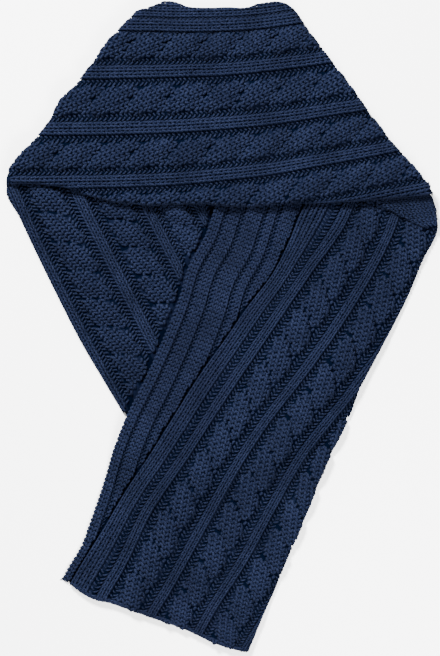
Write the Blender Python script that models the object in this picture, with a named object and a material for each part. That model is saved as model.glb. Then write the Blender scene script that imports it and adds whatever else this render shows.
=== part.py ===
"""Cable-knit scarf, folded in half lengthwise and laid flat as round a neck.

The neck band lies on top. It turns under along two diagonals, and the two tails come out below it:
the left tail runs down to the right and passes under the right tail, which ends in the cast-off edge.
Each stretch that shows is a wall of knit cloth with its ribs and cables raised in the outer face over
a plain inside. The layers that nothing shows share one solid. Tables and sizes are in millimetres.
"""

import math

import bmesh
import bpy
import numpy as np

MM = 0.001

# Knit cloth: the width of one wale of each kind, on the band and on the tails, which lie narrower.
BAND_WALES = {"border": 6.6, "purl": 4.6, "rib": 8.0, "cable": 7.8}
TAIL_WALES = {"border": 6.4, "purl": 4.7, "rib": 5.6, "cable": 7.0}
BORDER = (("border", 3), ("purl", 2))
REPEAT = (("rib", 2), ("purl", 2), ("cable", 4), ("purl", 2))
REPEATS = 8

# Cables: from one crossing to the next, the share of that in which the strands change sides either way
# from the middle, and which way the strand on top leans as the stations go up.
BAND_CROSSING = 43.4
RIGHT_CROSSING = 39.2
LEFT_CROSSING = 36.2
CROSS_SHARE = 0.22
BAND_LEAN = -1
RIGHT_LEAN = 1
LEFT_LEAN = -1

# Layers and what is raised on them.
WALL = 3.0
GAP = 0.4
PAIR = 7.0
RIB_RAISE = 1.8
CABLE_RAISE = 4.2
BORDER_RAISE = 0.7
LANE_RAISE = 0.35
CAST_OFF_RAISE = 1.3
PRESSED = 0.5
PRESSED_OVER = 14.0

# How much each layer beneath lifts the ones above it, and the length over which that fades.
LEFT_TAIL_LIFT = 9.5
UNDER_LIFT = 3.9
RIGHT_TAIL_LIFT = 5.6
TUCK_LIFT = 3.7
SLACK_LIFT = 3.4
SLACK_BELOW = -90.0
SLACK_BESIDE = 175.0
FADE = 50.0

# Folds: the radius seen from above, and how far round they go before they rest.
TAIL_FOLD = 7.0
BAND_FOLD = 7.5
TURN_FOLD = 12.0
FOLD_TURNS = (0.0, 38.0, 80.0, 130.0)

# Open edges: how far in the rounding and the cast-off rim reach.
EDGE_INSET = 2.4
EDGE_DROP = 1.5
RIM_INSET = 7.5

# Hidden margins of the walls under their neighbours.
UNDER_BAND = 12.0
UNDER_NEIGHBOUR = 9.0
SQUEEZE = 0.7

# Core under the walls.
CELL = 2.0
CORE_ROW = 14.0
CORE_COLUMNS = 13
CORE_LEAST = 1.2
CORE_GAP = 0.8

NAVY = (0.022, 0.038, 0.098, 1.0)

# Plan curves of the edges and folds.
TOP_EDGE = (
    # x, y
    (-128.8, 352.0),
    (-98.9, 362.3),
    (-82.0, 367.0),
    (-66.0, 373.6),
    (-54.0, 373.0),
    (-40.0, 367.6),
    (-25.3, 366.2),
    (8.0, 367.0),
    (28.7, 366.6),
    (42.0, 371.0),
    (64.4, 373.2),
    (74.0, 370.8),
    (84.0, 363.4),
    (118.4, 347.9),
)
LEFT_TURN = (
    # y, x
    (145.5, -250.8),
    (159.3, -249.9),
    (177.0, -247.6),
    (194.9, -235.6),
    (209.9, -221.6),
    (229.4, -204.6),
    (248.0, -193.0),
    (260.0, -185.5),
    (269.0, -176.8),
    (282.3, -165.8),
    (299.6, -153.0),
    (312.2, -142.6),
    (330.6, -128.6),
    (345.0, -116.2),
    (362.8, -99.1),
    (380.1, -83.0),
)
RIGHT_TURN = (
    # y, x
    (138.6, 249.5),
    (152.4, 244.6),
    (165.0, 236.6),
    (180.0, 223.6),
    (196.0, 210.6),
    (207.6, 200.0),
    (219.0, 190.6),
    (237.5, 175.6),
    (249.0, 168.0),
    (269.0, 154.0),
    (289.2, 138.6),
    (304.2, 127.6),
    (320.3, 115.6),
    (332.0, 105.4),
    (341.0, 99.6),
    (359.4, 87.8),
    (380.1, 73.8),
)
LOWER_FOLD = (
    # x, y
    (-266.8, 161.6),
    (-232.3, 163.9),
    (-186.3, 160.4),
    (-151.8, 150.1),
    (-128.8, 144.3),
    (-82.8, 139.7),
    (-25.3, 140.9),
    (20.7, 137.4),
    (89.7, 140.9),
    (147.2, 143.2),
    (204.7, 147.8),
    (243.8, 151.2),
    (262.2, 153.5),
)
RIGHT_EDGE = (
    # y, x
    (-374.3, 30.4),
    (-349.0, 40.6),
    (-328.3, 49.2),
    (-293.8, 65.0),
    (-257.0, 80.6),
    (-231.7, 91.2),
    (-193.8, 105.6),
    (-151.2, 123.2),
    (-107.5, 144.9),
    (-65.0, 162.4),
    (-21.3, 185.2),
    (24.7, 209.1),
    (74.2, 231.0),
    (120.2, 249.2),
    (140.0, 245.0),
    (157.0, 236.0),
    (170.0, 222.0),
)
CAST_OFF = (
    # x, y
    (-209.3, -279.5),
    (-179.4, -294.5),
    (-151.8, -312.4),
    (-128.8, -318.5),
    (-82.8, -334.6),
    (-36.8, -351.2),
    (-8.0, -364.8),
    (20.7, -373.2),
    (46.0, -376.4),
)
CREASE = (
    # y, x
    (-300.7, -177.1),
    (-276.6, -163.3),
    (-234.0, -136.8),
    (-185.7, -108.1),
    (-147.8, -82.8),
    (-105.2, -56.3),
    (-55.8, -25.3),
    (-15.5, 3.4),
    (21.3, 28.7),
    (59.2, 57.5),
    (99.5, 78.2),
    (128.2, 89.7),
    (162.7, 104.6),
)
OPEN_EDGE = (
    # y, x
    (-303.0, -188.5),
    (-283.5, -181.0),
    (-253.6, -163.4),
    (-220.2, -150.9),
    (-182.3, -137.9),
    (-138.6, -124.8),
    (-107.5, -112.4),
    (-55.8, -87.0),
    (-15.5, -69.0),
    (30.5, -50.6),
    (74.2, -36.8),
    (105.2, -19.5),
    (136.3, -9.2),
    (162.7, -1.1),
)
LEFT_EDGE = (
    # y, x
    (-165.0, -80.5),
    (-108.7, -108.6),
    (-55.8, -140.0),
    (-15.5, -163.8),
    (30.5, -187.5),
    (76.5, -210.1),
    (124.8, -233.2),
    (159.3, -249.0),
    (172.0, -243.0),
    (186.0, -229.0),
)
TUCK_EDGE = (
    # x, y
    (160.0, 146.0),
    (179.4, 139.7),
    (204.7, 127.1),
    (227.7, 115.6),
    (262.0, 110.0),
)

# The lie of the wales: a spine with the direction across it, and the distances of some ribs from it.
BAND = (
    # x, y, course_deg, rib_a, rib_b, rib_d, rib_e
    (-278.0, 226.5, 270.0, -119.5, -64.5, 61.0, 118.0),
    (-198.0, 226.5, 270.0, -119.5, -64.5, 61.0, 118.0),
    (-117.5, 227.5, 271.0, -118.5, -64.5, 61.0, 118.0),
    (-37.0, 230.5, 273.5, -115.0, -63.5, 60.0, 117.0),
    (43.5, 237.0, 276.0, -111.5, -62.0, 57.5, 113.0),
    (124.0, 248.0, 278.5, -110.5, -61.0, 54.5, 109.0),
    (204.5, 261.0, 280.5, -109.0, -60.5, 52.0, 106.0),
    (285.0, 276.5, 281.5, -109.0, -60.5, 52.0, 106.0),
)
RIGHT_TAIL = (
    # x, y, course_deg, rib_a, rib_c
    (248.0, 265.0, -18.0, -54.0, 60.0),
    (229.0, 213.0, -19.0, -54.0, 60.0),
    (209.0, 157.0, -21.0, -54.0, 60.0),
    (187.5, 99.5, -25.0, -54.0, 60.0),
    (149.5, 30.5, -31.0, -62.0, 61.0),
    (101.0, -41.0, -36.0, -62.0, 58.0),
    (46.0, -113.5, -35.0, -56.5, 56.0),
    (7.0, -174.0, -30.5, -56.5, 60.0),
    (-29.0, -240.0, -29.0, -64.0, 60.0),
    (-65.5, -305.5, -25.0, -60.0, 56.0),
    (-80.0, -329.5, -21.5, -60.0, 57.5),
    (-103.0, -388.0, -21.5, -60.0, 57.5),
)
LEFT_TAIL = (
    # x, y, course_deg, rib_b, rib_c, rib_e
    (-198.0, 222.0, 205.0, -118.0, -65.5, 66.0),
    (-172.5, 166.0, 205.0, -118.0, -65.5, 66.0),
    (-157.5, 134.0, 206.5, -118.0, -65.5, 67.0),
    (-135.5, 90.5, 208.0, -118.0, -65.5, 68.0),
    (-88.5, -1.5, 208.0, -121.0, -65.5, 68.0),
    (-37.0, -100.5, 208.0, -121.0, -65.5, 66.0),
    (-10.0, -152.0, 208.0, -121.0, -65.5, 66.0),
    (37.0, -241.0, 208.0, -121.0, -65.5, 66.0),
)
UNDER = (
    # x, y, course_deg
    (30.0, 235.0, -22.0),
    (-1.0, 157.0, -22.0),
    (-19.5, 105.2, -22.0),
    (-50.6, 30.5, -21.0),
    (-86.2, -55.8, -23.0),
    (-109.2, -107.5, -21.0),
    (-133.4, -182.3, -18.5),
    (-159.8, -253.6, -22.0),
    (-177.1, -283.5, -24.0),
    (-200.0, -330.0, -24.0),
)
TUCK = (
    # x, y, course_deg
    (120.0, 152.0, -80.0),
    (176.0, 147.5, -78.0),
    (206.0, 141.0, -74.0),
    (236.0, 134.5, -70.0),
    (290.0, 116.0, -70.0),
)

# Where one crossing of each cable is centred, along its stretch, by the cable's middle wale.
BAND_CROSSINGS = {11: 261.0, 21: 262.0, 31: 262.0, 41: 263.0}
RIGHT_CROSSINGS = {11: 262.0, 21: 258.0, 31: 258.0}
LEFT_CROSSINGS = {21: 166.0, 31: 163.0, 41: 157.0}

# Straight lines that bound what lies beneath: the left tail's fold, its open edge and its end, and the
# open edges of the right tail's two layers.
LEFT_TAIL_FOLD = ((-249.5, 159.3), (-109.2, -108.7))
LEFT_TAIL_OPEN = ((-98.9, 362.8), (147.0, -108.5))
LEFT_TAIL_END = ((153.0, -90.0), (-60.0, -199.5))
UNDER_OPEN = ((87.4, 360.5), (-9.2, 136.3))
RIGHT_TAIL_OPEN = ((145.0, 252.0), (89.7, 128.2))


def smooth(knots, values, at):
    """Cubic through the rows of a table, with slopes from their neighbours and straight ends."""
    slopes = np.gradient(values, knots)
    row = np.clip(np.searchsorted(knots, at) - 1, 0, len(knots) - 2)
    span = knots[row + 1] - knots[row]
    t = np.clip((at - knots[row]) / span, 0.0, 1.0)
    start = (1 + 2 * t) * (1 - t) ** 2 * values[row] + t * (1 - t) ** 2 * span * slopes[row]
    end = t * t * (3 - 2 * t) * values[row + 1] + t * t * (t - 1) * span * slopes[row + 1]
    before = np.minimum(at - knots[0], 0.0) * slopes[0]
    after = np.maximum(at - knots[-1], 0.0) * slopes[-1]
    return start + end + before + after


def ease(value):
    """0 to 1 with level ends."""
    t = np.clip(value, 0.0, 1.0)
    return t * t * (3 - 2 * t)


def curve(table):
    """The second column of a plan curve as a function of the first."""
    knots, values = np.array(table).T
    return lambda at: smooth(knots, values, at)


top_edge = curve(TOP_EDGE)
left_turn = curve(LEFT_TURN)
right_turn = curve(RIGHT_TURN)
lower_fold = curve(LOWER_FOLD)
right_edge = curve(RIGHT_EDGE)
cast_off = curve(CAST_OFF)
crease = curve(CREASE)
open_edge = curve(OPEN_EDGE)
left_edge = curve(LEFT_EDGE)
tuck_edge = curve(TUCK_EDGE)

GROUPS = BORDER + REPEAT * REPEATS
WALES = np.arange(sum(count for _, count in GROUPS) + 1)


def wales_at(widths):
    """Distance of each wale from the open edge."""
    each = [widths[kind] for kind, count in GROUPS for _ in range(count)]
    return np.concatenate([[0.0], np.cumsum(each)])


def first_change(side):
    """Index, with its fraction, of the first change of sign in each row; NaN where there is none."""
    changed = np.sign(side[:, :-1]) != np.sign(side[:, 1:])
    index = changed.argmax(axis=1)
    rows = np.arange(len(side))
    before, after = side[rows, index], side[rows, index + 1]
    found = index + before / np.where(before == after, 1.0, before - after)
    return np.where(changed.any(axis=1), found, np.nan)


def lookup(at, values):
    """Interpolates a sampled function, carried on level past the samples that have a value."""
    known = ~np.isnan(values)
    return lambda where: np.interp(where, at[known], values[known])


PLAIN_ANCHOR = ((0, None, 0.0),)


class Stretch:
    """A length of cloth laid along a spine, with the distances from it to some of its wales."""

    def __init__(self, rows, anchors=PLAIN_ANCHOR, widths=TAIL_WALES, crossings=None, crossing=1.0, lean=1):
        self.table = np.array(rows)
        self.anchors = anchors
        self.wale_at = wales_at(widths)
        self.crossings = crossings or {}
        self.crossing = crossing
        self.lean = lean
        steps = np.hypot(*np.diff(self.table[:, :2], axis=0).T)
        self.stations = np.concatenate([[0.0], np.cumsum(steps)])
        self.length = self.stations[-1]

    def column(self, index, station):
        return smooth(self.stations, self.table[:, index], station)

    def across(self, wale, station):
        """Distance from the spine to a wale: through the anchors, and by plain widths past them."""
        at = np.interp(wale, WALES, self.wale_at)
        known = []
        for anchor, column, offset in self.anchors:
            lies = 0.0 * station if column is None else self.column(column, station)
            known.append((self.wale_at[anchor], lies + offset))
        distance = known[0][1] + np.minimum(at - known[0][0], 0.0) + np.maximum(at - known[-1][0], 0.0)
        for (at_a, from_a), (at_b, from_b) in zip(known, known[1:]):
            share = np.clip((at - at_a) / (at_b - at_a), 0.0, 1.0)
            distance = distance + share * (from_b - from_a)
        return distance

    def wale(self, across, station):
        """The wale at a distance from the spine."""
        low = np.zeros(np.broadcast(across, station).shape)
        high = low + WALES[-1]
        for _ in range(26):
            middle = (low + high) / 2
            below = self.across(middle, station) < across
            low = np.where(below, middle, low)
            high = np.where(below, high, middle)
        return (low + high) / 2

    def plan(self, across, station):
        heading = np.radians(self.column(2, station))
        x = self.column(0, station) + across * np.cos(heading)
        y = self.column(1, station) + across * np.sin(heading)
        return x, y

    def by_distance(self, meets, low, high):
        """The first station at which the cloth meets a curve, by the distance from the spine."""
        stations = np.linspace(0.0, self.length, 600)
        distances = np.linspace(low, high, 120)
        side = meets(*self.plan(distances[:, None], stations[None, :]))
        return lookup(distances, first_change(side) * (stations[1] - stations[0]))

    def by_station(self, meets, low, high):
        """The first distance from the spine at which the cloth meets a curve, by the station."""
        stations = np.linspace(0.0, self.length, 120)
        distances = np.linspace(low, high, 600)
        side = meets(*self.plan(distances[None, :], stations[:, None]))
        return lookup(stations, low + first_change(side) * (distances[1] - distances[0]))

    def pattern(self, across, station):
        """Height of the ribs and cables over the purl ground."""
        wale = self.wale(across, station)
        height = BORDER_RAISE * ease((BORDER[0][1] + 0.3 - wale) / 0.6)
        first = sum(count for _, count in BORDER)
        repeat = sum(count for _, count in REPEAT)
        for number in range(REPEATS):
            rib = first + 1 + number * repeat
            cable = rib + 5
            turn = np.mod((station - self.crossings.get(cable, 0.0)) / self.crossing + 0.5, 1.0) - 0.5
            height = height + RIB_RAISE * ease((1.15 - np.abs(wale - rib)) / 0.5)
            height = height + CABLE_RAISE * cable_form(self.lean * (wale - cable), turn)
        return height


def cable_form(across, turn):
    """Two strands that change sides once a crossing: one rides over, the other passes under."""
    part = math.pi / 2 * np.clip(turn / CROSS_SHARE, -1, 1)
    swing = np.sin(part)
    over = np.clip(1 - ((across - swing) / 1.4) ** 2, 0, 1) ** 0.6
    under = np.clip(1 - ((across + swing) / 1.3) ** 2, 0, 1) ** 0.6 * (1 - 0.75 * np.cos(part) ** 2)
    return np.maximum(over, 0.85 * under) * ease((2.05 - np.abs(across)) / 0.3)


# A wale, the column that gives its distance from the spine, and how far beside that it runs. Along the
# band's top edge the cloth is bunched, so the purl grooves beside the first rib are closed up.
bunched = ((3, 3, -9.5), (5, 3, -7.0), (7, 3, 7.0), (9, 3, 9.5))
band_ribs = (*bunched, (16, 4, 0.0), (26, None, 0.0), (36, 5, 0.0), (46, 6, 0.0))
right_ribs = ((6, 3, 0.0), (16, None, 0.0), (26, 4, 0.0))
left_ribs = ((16, 3, 0.0), (26, 4, 0.0), (36, None, 0.0), (46, 5, 0.0))
band = Stretch(BAND, band_ribs, BAND_WALES, BAND_CROSSINGS, BAND_CROSSING, BAND_LEAN)
right_tail = Stretch(RIGHT_TAIL, right_ribs, TAIL_WALES, RIGHT_CROSSINGS, RIGHT_CROSSING, RIGHT_LEAN)
left_tail = Stretch(LEFT_TAIL, left_ribs, TAIL_WALES, LEFT_CROSSINGS, LEFT_CROSSING, LEFT_LEAN)
under = Stretch(UNDER)
tuck = Stretch(TUCK)


def left_of(x, y, line):
    """Distance to the left of a line, seen along it."""
    (x0, y0), (x1, y1) = line
    return ((x1 - x0) * (y - y0) - (y1 - y0) * (x - x0)) / math.hypot(x1 - x0, y1 - y0)


def inside(distance):
    """1 inside an edge, fading to 0 outside it."""
    return ease(1 + distance / FADE)


def left_tail_lift(x, y):
    """What the left tail lifts, and beside its open edge the slack that hangs over from it."""
    cover = inside(left_of(x, y, LEFT_TAIL_FOLD)) * inside(-left_of(x, y, LEFT_TAIL_OPEN))
    cover = cover * inside(-left_of(x, y, LEFT_TAIL_END)) * ease((right_edge(y) - x) / FADE)
    slack = ease((y - SLACK_BELOW) / FADE) * ease((SLACK_BESIDE - x) / FADE)
    return LEFT_TAIL_LIFT * cover + SLACK_LIFT * (1 - cover) * slack


def tuck_lift(x, y):
    return TUCK_LIFT * ease((x - 130.0) / 38.0) * ease(1 - (y - lower_fold(x) - 6.0) / 50.0)


def band_rests_at(x, y):
    lift = left_tail_lift(x, y) + UNDER_LIFT * inside(left_of(x, y, UNDER_OPEN))
    return lift + RIGHT_TAIL_LIFT * inside(left_of(x, y, RIGHT_TAIL_OPEN)) + tuck_lift(x, y)


def band_turn_rests_at(x, y):
    """The diagonals go down to the floor, and near the corners to the tails that start there."""
    return LEFT_TAIL_LIFT * ease((196.0 - y) / 26.0)


def band_ground(x, y):
    return band_rests_at(x, y) + PAIR


def tail_ground(x, y):
    return left_tail_lift(x, y) + PAIR


def left_ground(x, y):
    return PAIR + 0.0 * x


def under_ground(x, y):
    return left_tail_lift(x, y) + WALL


def tuck_ground(x, y):
    return tail_ground(x, y) + PRESSED * CABLE_RAISE + GAP + WALL


def floor(x, y):
    return 0.0 * x


def pressed(distance):
    """The pattern is flatter where another layer lies on it or close by."""
    return 1 - (1 - PRESSED) * ease(1 - distance / PRESSED_OVER)


def band_pattern(x, y, across, station):
    return band.pattern(across, station)


def right_pattern(x, y, across, station):
    covered_to = np.minimum(lower_fold(x), tuck_edge(x))
    return right_tail.pattern(across, station) * pressed(covered_to - y)


def left_pattern(x, y, across, station):
    return left_tail.pattern(across, station) * pressed(lower_fold(x) - y) * pressed(open_edge(y) - x)


def under_pattern(x, y, across, station):
    """Lanes of stocking stitch side by side, with a groove between them."""
    lanes = (0.0, 20.0, 26.0, 56.0, 62.0, 80.0, 86.0, 104.0)
    return LANE_RAISE * np.interp(across, lanes, (1.0, 1.0, 0.0, 1.0, 0.0, 1.0, 0.0, 1.0))


def tuck_pattern(x, y, across, station):
    return 0.0 * x


class Side:
    """How one side of a wall ends: a fold that comes down to rest, an open edge, or a plain hidden end."""

    def __init__(self, kind, radius=0.0, rests_at=floor, rim=0.0):
        self.kind = kind
        self.radius = radius
        self.rests_at = rests_at
        self.rim = rim
        self.inset = {"fold": radius, "edge": RIM_INSET if rim else EDGE_INSET, "hidden": 0.0}[kind]

    def lines(self, inner):
        """(inset, share of the way down, drop) of the face's lines, from the rim inwards."""
        if self.kind == "fold":
            return [fold_line(self.radius, WALL if inner else 0.0, turn) for turn in FOLD_TURNS[:0:-1]]
        if self.kind == "hidden":
            return [(0.0, 0.0, 0.0)]
        if inner:
            return [(0.9, 0.0, 0.0), (1.6, 0.0, 0.0)] + [(4.8, 0.0, 0.0)] * bool(self.rim)
        if self.rim:
            return [(0.0, 0.0, EDGE_DROP), (1.4, 0.0, -0.7 * self.rim), (4.4, 0.0, -self.rim)]
        return [(0.0, 0.0, EDGE_DROP), (0.9, 0.0, 0.4)]


def fold_line(radius, inward, turn_deg):
    turn = math.radians(turn_deg)
    last = math.radians(FOLD_TURNS[-1])
    inset = inward + (radius - inward) * (1 - math.sin(turn))
    return inset, (1 - math.cos(turn)) / (1 - math.cos(last)), 0.0


class Wall:
    """A stretch's wall: rows from its start to its end, and columns from its low side to its high side."""

    def __init__(self, stretch, ground, pattern, bounds, sides, rows, columns, inner_columns):
        self.stretch = stretch
        self.ground = ground
        self.pattern = pattern
        self.start, self.end, self.low, self.high = bounds
        self.start_side, self.end_side, self.low_side, self.high_side = sides
        self.rows = rows
        self.columns = columns
        self.inner_columns = inner_columns

    def lines(self, inner):
        """Row and column lines as (anchor, value, share of the way down, drop)."""
        rows = [("start", *line) for line in self.start_side.lines(inner)]
        rows += [("share", share, 0.0, 0.0) for share in np.linspace(0, 1, self.rows)]
        rows += [("end", *line) for line in self.end_side.lines(inner)][::-1]
        columns = [("low", *line) for line in self.low_side.lines(inner)]
        columns += [(*line, 0.0, 0.0) for line in (self.inner_columns if inner else self.columns)]
        columns += [("high", *line) for line in self.high_side.lines(inner)][::-1]
        if self.start_side.kind == "hidden":
            rows = rows[1:]
        if self.end_side.kind == "hidden":
            rows = rows[:-1]
        return rows, columns

    def place_columns(self, columns, station):
        low, high = self.low(station), self.high(station)
        first, last = low + self.low_side.inset, high - self.high_side.inset
        across = np.empty(station.shape)
        for j, (anchor, value, _, _) in enumerate(columns):
            if anchor == "low":
                across[:, j] = low[:, j] + value
            elif anchor == "high":
                across[:, j] = high[:, j] - value
            elif anchor == "share":
                across[:, j] = first[:, j] + value * (last[:, j] - first[:, j])
            else:
                at = self.stretch.across(value, station[:, j])
                at = np.maximum(at, first[:, j] + SQUEEZE * j)
                across[:, j] = np.minimum(at, last[:, j] - SQUEEZE * (len(columns) - 1 - j))
        return across

    def place_rows(self, rows, across):
        start, end = self.start(across), self.end(across)
        first, last = start + self.start_side.inset, end - self.end_side.inset
        station = np.empty(across.shape)
        for i, (anchor, value, _, _) in enumerate(rows):
            if anchor == "start":
                station[i] = start[i] + value
            elif anchor == "end":
                station[i] = end[i] - value
            else:
                station[i] = first[i] + value * (last[i] - first[i])
        return station

    def surface(self, inner):
        """The points of one face, in rows and columns."""
        rows, columns = self.lines(inner)
        station = np.full((len(rows), len(columns)), self.stretch.length / 2)
        across = self.place_columns(columns, station)
        for _ in range(25):
            station = 0.5 * station + 0.5 * self.place_rows(rows, across)
            across = self.place_columns(columns, station)
        x, y = self.stretch.plan(across, station)
        top = self.ground(x, y)
        if inner:
            top = top - WALL
        else:
            drop = np.array([line[3] for line in rows])[:, None] + np.array([line[3] for line in columns])
            top = top + self.pattern(x, y, across, station) - np.minimum(drop, EDGE_DROP)
        row_down = np.array([line[2] for line in rows])[:, None]
        column_down = np.array([line[2] for line in columns])[None, :]
        rest = self.high_side.rests_at(x, y)
        top = top + (rest - top) * column_down
        top = top + (np.minimum(self.start_side.rests_at(x, y), rest) - top) * row_down
        return np.stack([x, y, top], axis=2)


def meets_y(function, margin=0.0):
    return lambda x, y: y - function(x) - margin


def meets_x(function, margin=0.0):
    return lambda x, y: x - function(y) - margin


def fixed(value):
    return lambda at: value + 0.0 * at


RIB_LINES = (-1.2, -0.75, 0.75, 1.2)
CABLE_LINES = (-2.05, -1.35, -0.5, 0.5, 1.35, 2.05)


def wale_lines(*forms):
    """Columns at the foot and top of each rib and across each cable."""
    lines = []
    for kind, centre in forms:
        offsets = {"rib": RIB_LINES, "cable": CABLE_LINES, "line": (0.0,)}[kind]
        lines += [("wale", centre + offset) for offset in offsets]
    return lines


def share_lines(count):
    return [("share", share) for share in np.linspace(0, 1, count)]


def band_wall():
    bounds = (
        band.by_distance(meets_x(left_turn), -150.0, 135.0),
        band.by_distance(meets_x(right_turn), -150.0, 135.0),
        band.by_station(meets_y(top_edge), -200.0, 60.0),
        band.by_station(meets_y(lower_fold), 30.0, 150.0),
    )
    turn = Side("fold", TURN_FOLD, band_turn_rests_at)
    sides = (turn, turn, Side("edge"), Side("fold", BAND_FOLD, band_rests_at))
    forms = (("rib", 6), ("cable", 11), ("rib", 16), ("cable", 21), ("rib", 26), ("cable", 31), ("rib", 36))
    columns = wale_lines(*forms, ("cable", 41))
    return Wall(band, band_ground, band_pattern, bounds, sides, 44, columns, share_lines(13))


def right_wall():
    bounds = (
        right_tail.by_distance(meets_y(lower_fold, UNDER_BAND), -125.0, 140.0),
        right_tail.by_distance(meets_y(cast_off), -125.0, 140.0),
        right_tail.by_station(meets_x(crease), -130.0, -60.0),
        right_tail.by_station(meets_x(right_edge), 20.0, 160.0),
    )
    sides = (Side("hidden"), Side("edge", rim=CAST_OFF_RAISE), Side("edge"), Side("fold", TAIL_FOLD))
    forms = (("rib", 6), ("cable", 11), ("rib", 16), ("cable", 21), ("rib", 26), ("cable", 31))
    columns = wale_lines(("line", 1.0), ("line", 3.0), ("line", 3.6), *forms)
    return Wall(right_tail, tail_ground, right_pattern, bounds, sides, 51, columns, share_lines(12))


def left_wall():
    bounds = (
        left_tail.by_distance(meets_y(lower_fold, UNDER_BAND), -138.0, 90.0),
        left_tail.by_distance(meets_x(open_edge, UNDER_NEIGHBOUR), -138.0, 90.0),
        fixed(-138.0),
        left_tail.by_station(meets_x(left_edge), 40.0, 110.0),
    )
    sides = (Side("hidden"), Side("hidden"), Side("hidden"), Side("fold", TAIL_FOLD))
    forms = (("cable", 21), ("rib", 26), ("cable", 31), ("rib", 36), ("cable", 41))
    columns = wale_lines(("line", 14.9), ("line", 17.1), *forms)
    return Wall(left_tail, left_ground, left_pattern, bounds, sides, 30, columns, share_lines(11))


def under_wall():
    bounds = (
        under.by_distance(meets_y(lower_fold, UNDER_BAND), -20.0, 130.0),
        under.by_distance(meets_y(cast_off), -20.0, 130.0),
        under.by_station(meets_x(open_edge), -30.0, 30.0),
        under.by_station(meets_x(crease, UNDER_NEIGHBOUR), -5.0, 160.0),
    )
    sides = (Side("hidden"), Side("edge"), Side("edge"), Side("hidden"))
    columns = share_lines(7)[:-1]
    return Wall(under, under_ground, under_pattern, bounds, sides, 33, columns, columns)


def tuck_wall():
    bounds = (
        fixed(62.0),
        tuck.by_distance(meets_x(right_edge, -2.0), -30.0, 40.0),
        tuck.by_station(meets_y(lower_fold, 8.0), -60.0, 30.0),
        tuck.by_station(meets_y(tuck_edge), -20.0, 50.0),
    )
    sides = (Side("hidden"), Side("edge"), Side("hidden"), Side("edge"))
    return Wall(tuck, tuck_ground, tuck_pattern, bounds, sides, 7, share_lines(4)[1:], share_lines(4)[1:])


def lowest_of(faces, low, shape):
    """The lowest of some faces over each cell of the plan, and 0 where there is none."""
    height = np.full(shape, np.inf)
    steps = (np.arange(16) + 0.5) / 16
    for face in faces:
        for u in steps:
            for v in steps:
                near = face[:-1, :-1] * (1 - v) + face[:-1, 1:] * v
                far = face[1:, :-1] * (1 - v) + face[1:, 1:] * v
                point = (near * (1 - u) + far * u).reshape(-1, 3)
                cell = ((point[:, :2] - low) / CELL).astype(int)
                np.minimum.at(height, (cell[:, 0], cell[:, 1]), point[:, 2])
    height[np.isinf(height)] = 0.0
    return height


def eroded(height):
    """Each cell takes the lowest value of itself and its neighbours."""
    result = height.copy()
    for dx in (-1, 0, 1):
        for dy in (-1, 0, 1):
            result = np.minimum(result, np.roll(height, (dx, dy), (0, 1)))
    return result


def widest_run(open_cells):
    edges = np.flatnonzero(np.diff(np.concatenate([[0], open_cells.astype(int), [0]])))
    starts, ends = edges[::2], edges[1::2]
    widest = (ends - starts).argmax()
    return starts[widest], ends[widest] - 1


def core_grid(faces):
    """Rows across the whole scarf, as high as the walls over them allow."""
    points = np.concatenate([face.reshape(-1, 3) for face in faces])
    low = points[:, :2].min(axis=0) - 6.0
    shape = tuple(((points[:, :2].max(axis=0) + 6.0 - low) / CELL).astype(int) + 1)
    room = eroded(lowest_of(faces, low, shape)) - CORE_GAP
    open_rows = [j for j in range(shape[1]) if (room[:, j] > CORE_LEAST).sum() * CELL > 24.0]
    count = int((open_rows[-1] - open_rows[0]) * CELL / CORE_ROW)
    rows = np.linspace(open_rows[0] + 0.5, open_rows[-1] - 1.5, count)
    grid = np.empty((count, CORE_COLUMNS + 4, 2))
    for i, row in enumerate(rows):
        near = [min(max(int(row) + k, 0), room.shape[1] - 1) for k in range(-2, 4)]
        runs = [widest_run(room[:, j] > CORE_LEAST) for j in near if (room[:, j] > CORE_LEAST).any()]
        first = low[0] + (max(run[0] for run in runs) + 1.2) * CELL
        last = low[0] + (min(run[1] for run in runs) - 0.2) * CELL
        middle = first + 9.0 + (last - first - 18.0) * np.linspace(0, 1, CORE_COLUMNS)
        grid[i, :, 0] = np.concatenate([[first, first + 4.0], middle, [last - 4.0, last]])
        grid[i, :, 1] = low[1] + (row + 0.5) * CELL
    return grid, room, low


def room_at(room, low, points):
    cell = np.clip(((points - low) / CELL).astype(int), 0, np.array(room.shape) - 1)
    return room[cell[..., 0], cell[..., 1]]


def fitted(grid, room, low):
    """Heights at the grid's points that keep every face under the room above it."""
    height = np.minimum(room_at(room, low, grid), 60.0)
    steps = np.linspace(0, 1, 7)
    for _ in range(60):
        most = 0.0
        for u in steps:
            for v in steps:
                weights = ((1 - u) * (1 - v), (1 - u) * v, u * (1 - v), u * v)
                corners = (
                    (slice(None, -1), slice(None, -1)),
                    (slice(None, -1), slice(1, None)),
                    (slice(1, None), slice(None, -1)),
                    (slice(1, None), slice(1, None)),
                )
                point = sum(w * grid[c] for w, c in zip(weights, corners))
                value = sum(w * height[c] for w, c in zip(weights, corners))
                over = np.maximum(value - np.maximum(room_at(room, low, point), CORE_LEAST * 0.5), 0.0)
                total = sum(w * w for w in weights)
                for weight, corner in zip(weights, corners):
                    height[corner] -= over * weight / total * 0.5
                most = max(most, over.max())
        height = np.maximum(height, CORE_LEAST * 0.5)
        if most < 0.05:
            break
    return height


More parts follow.
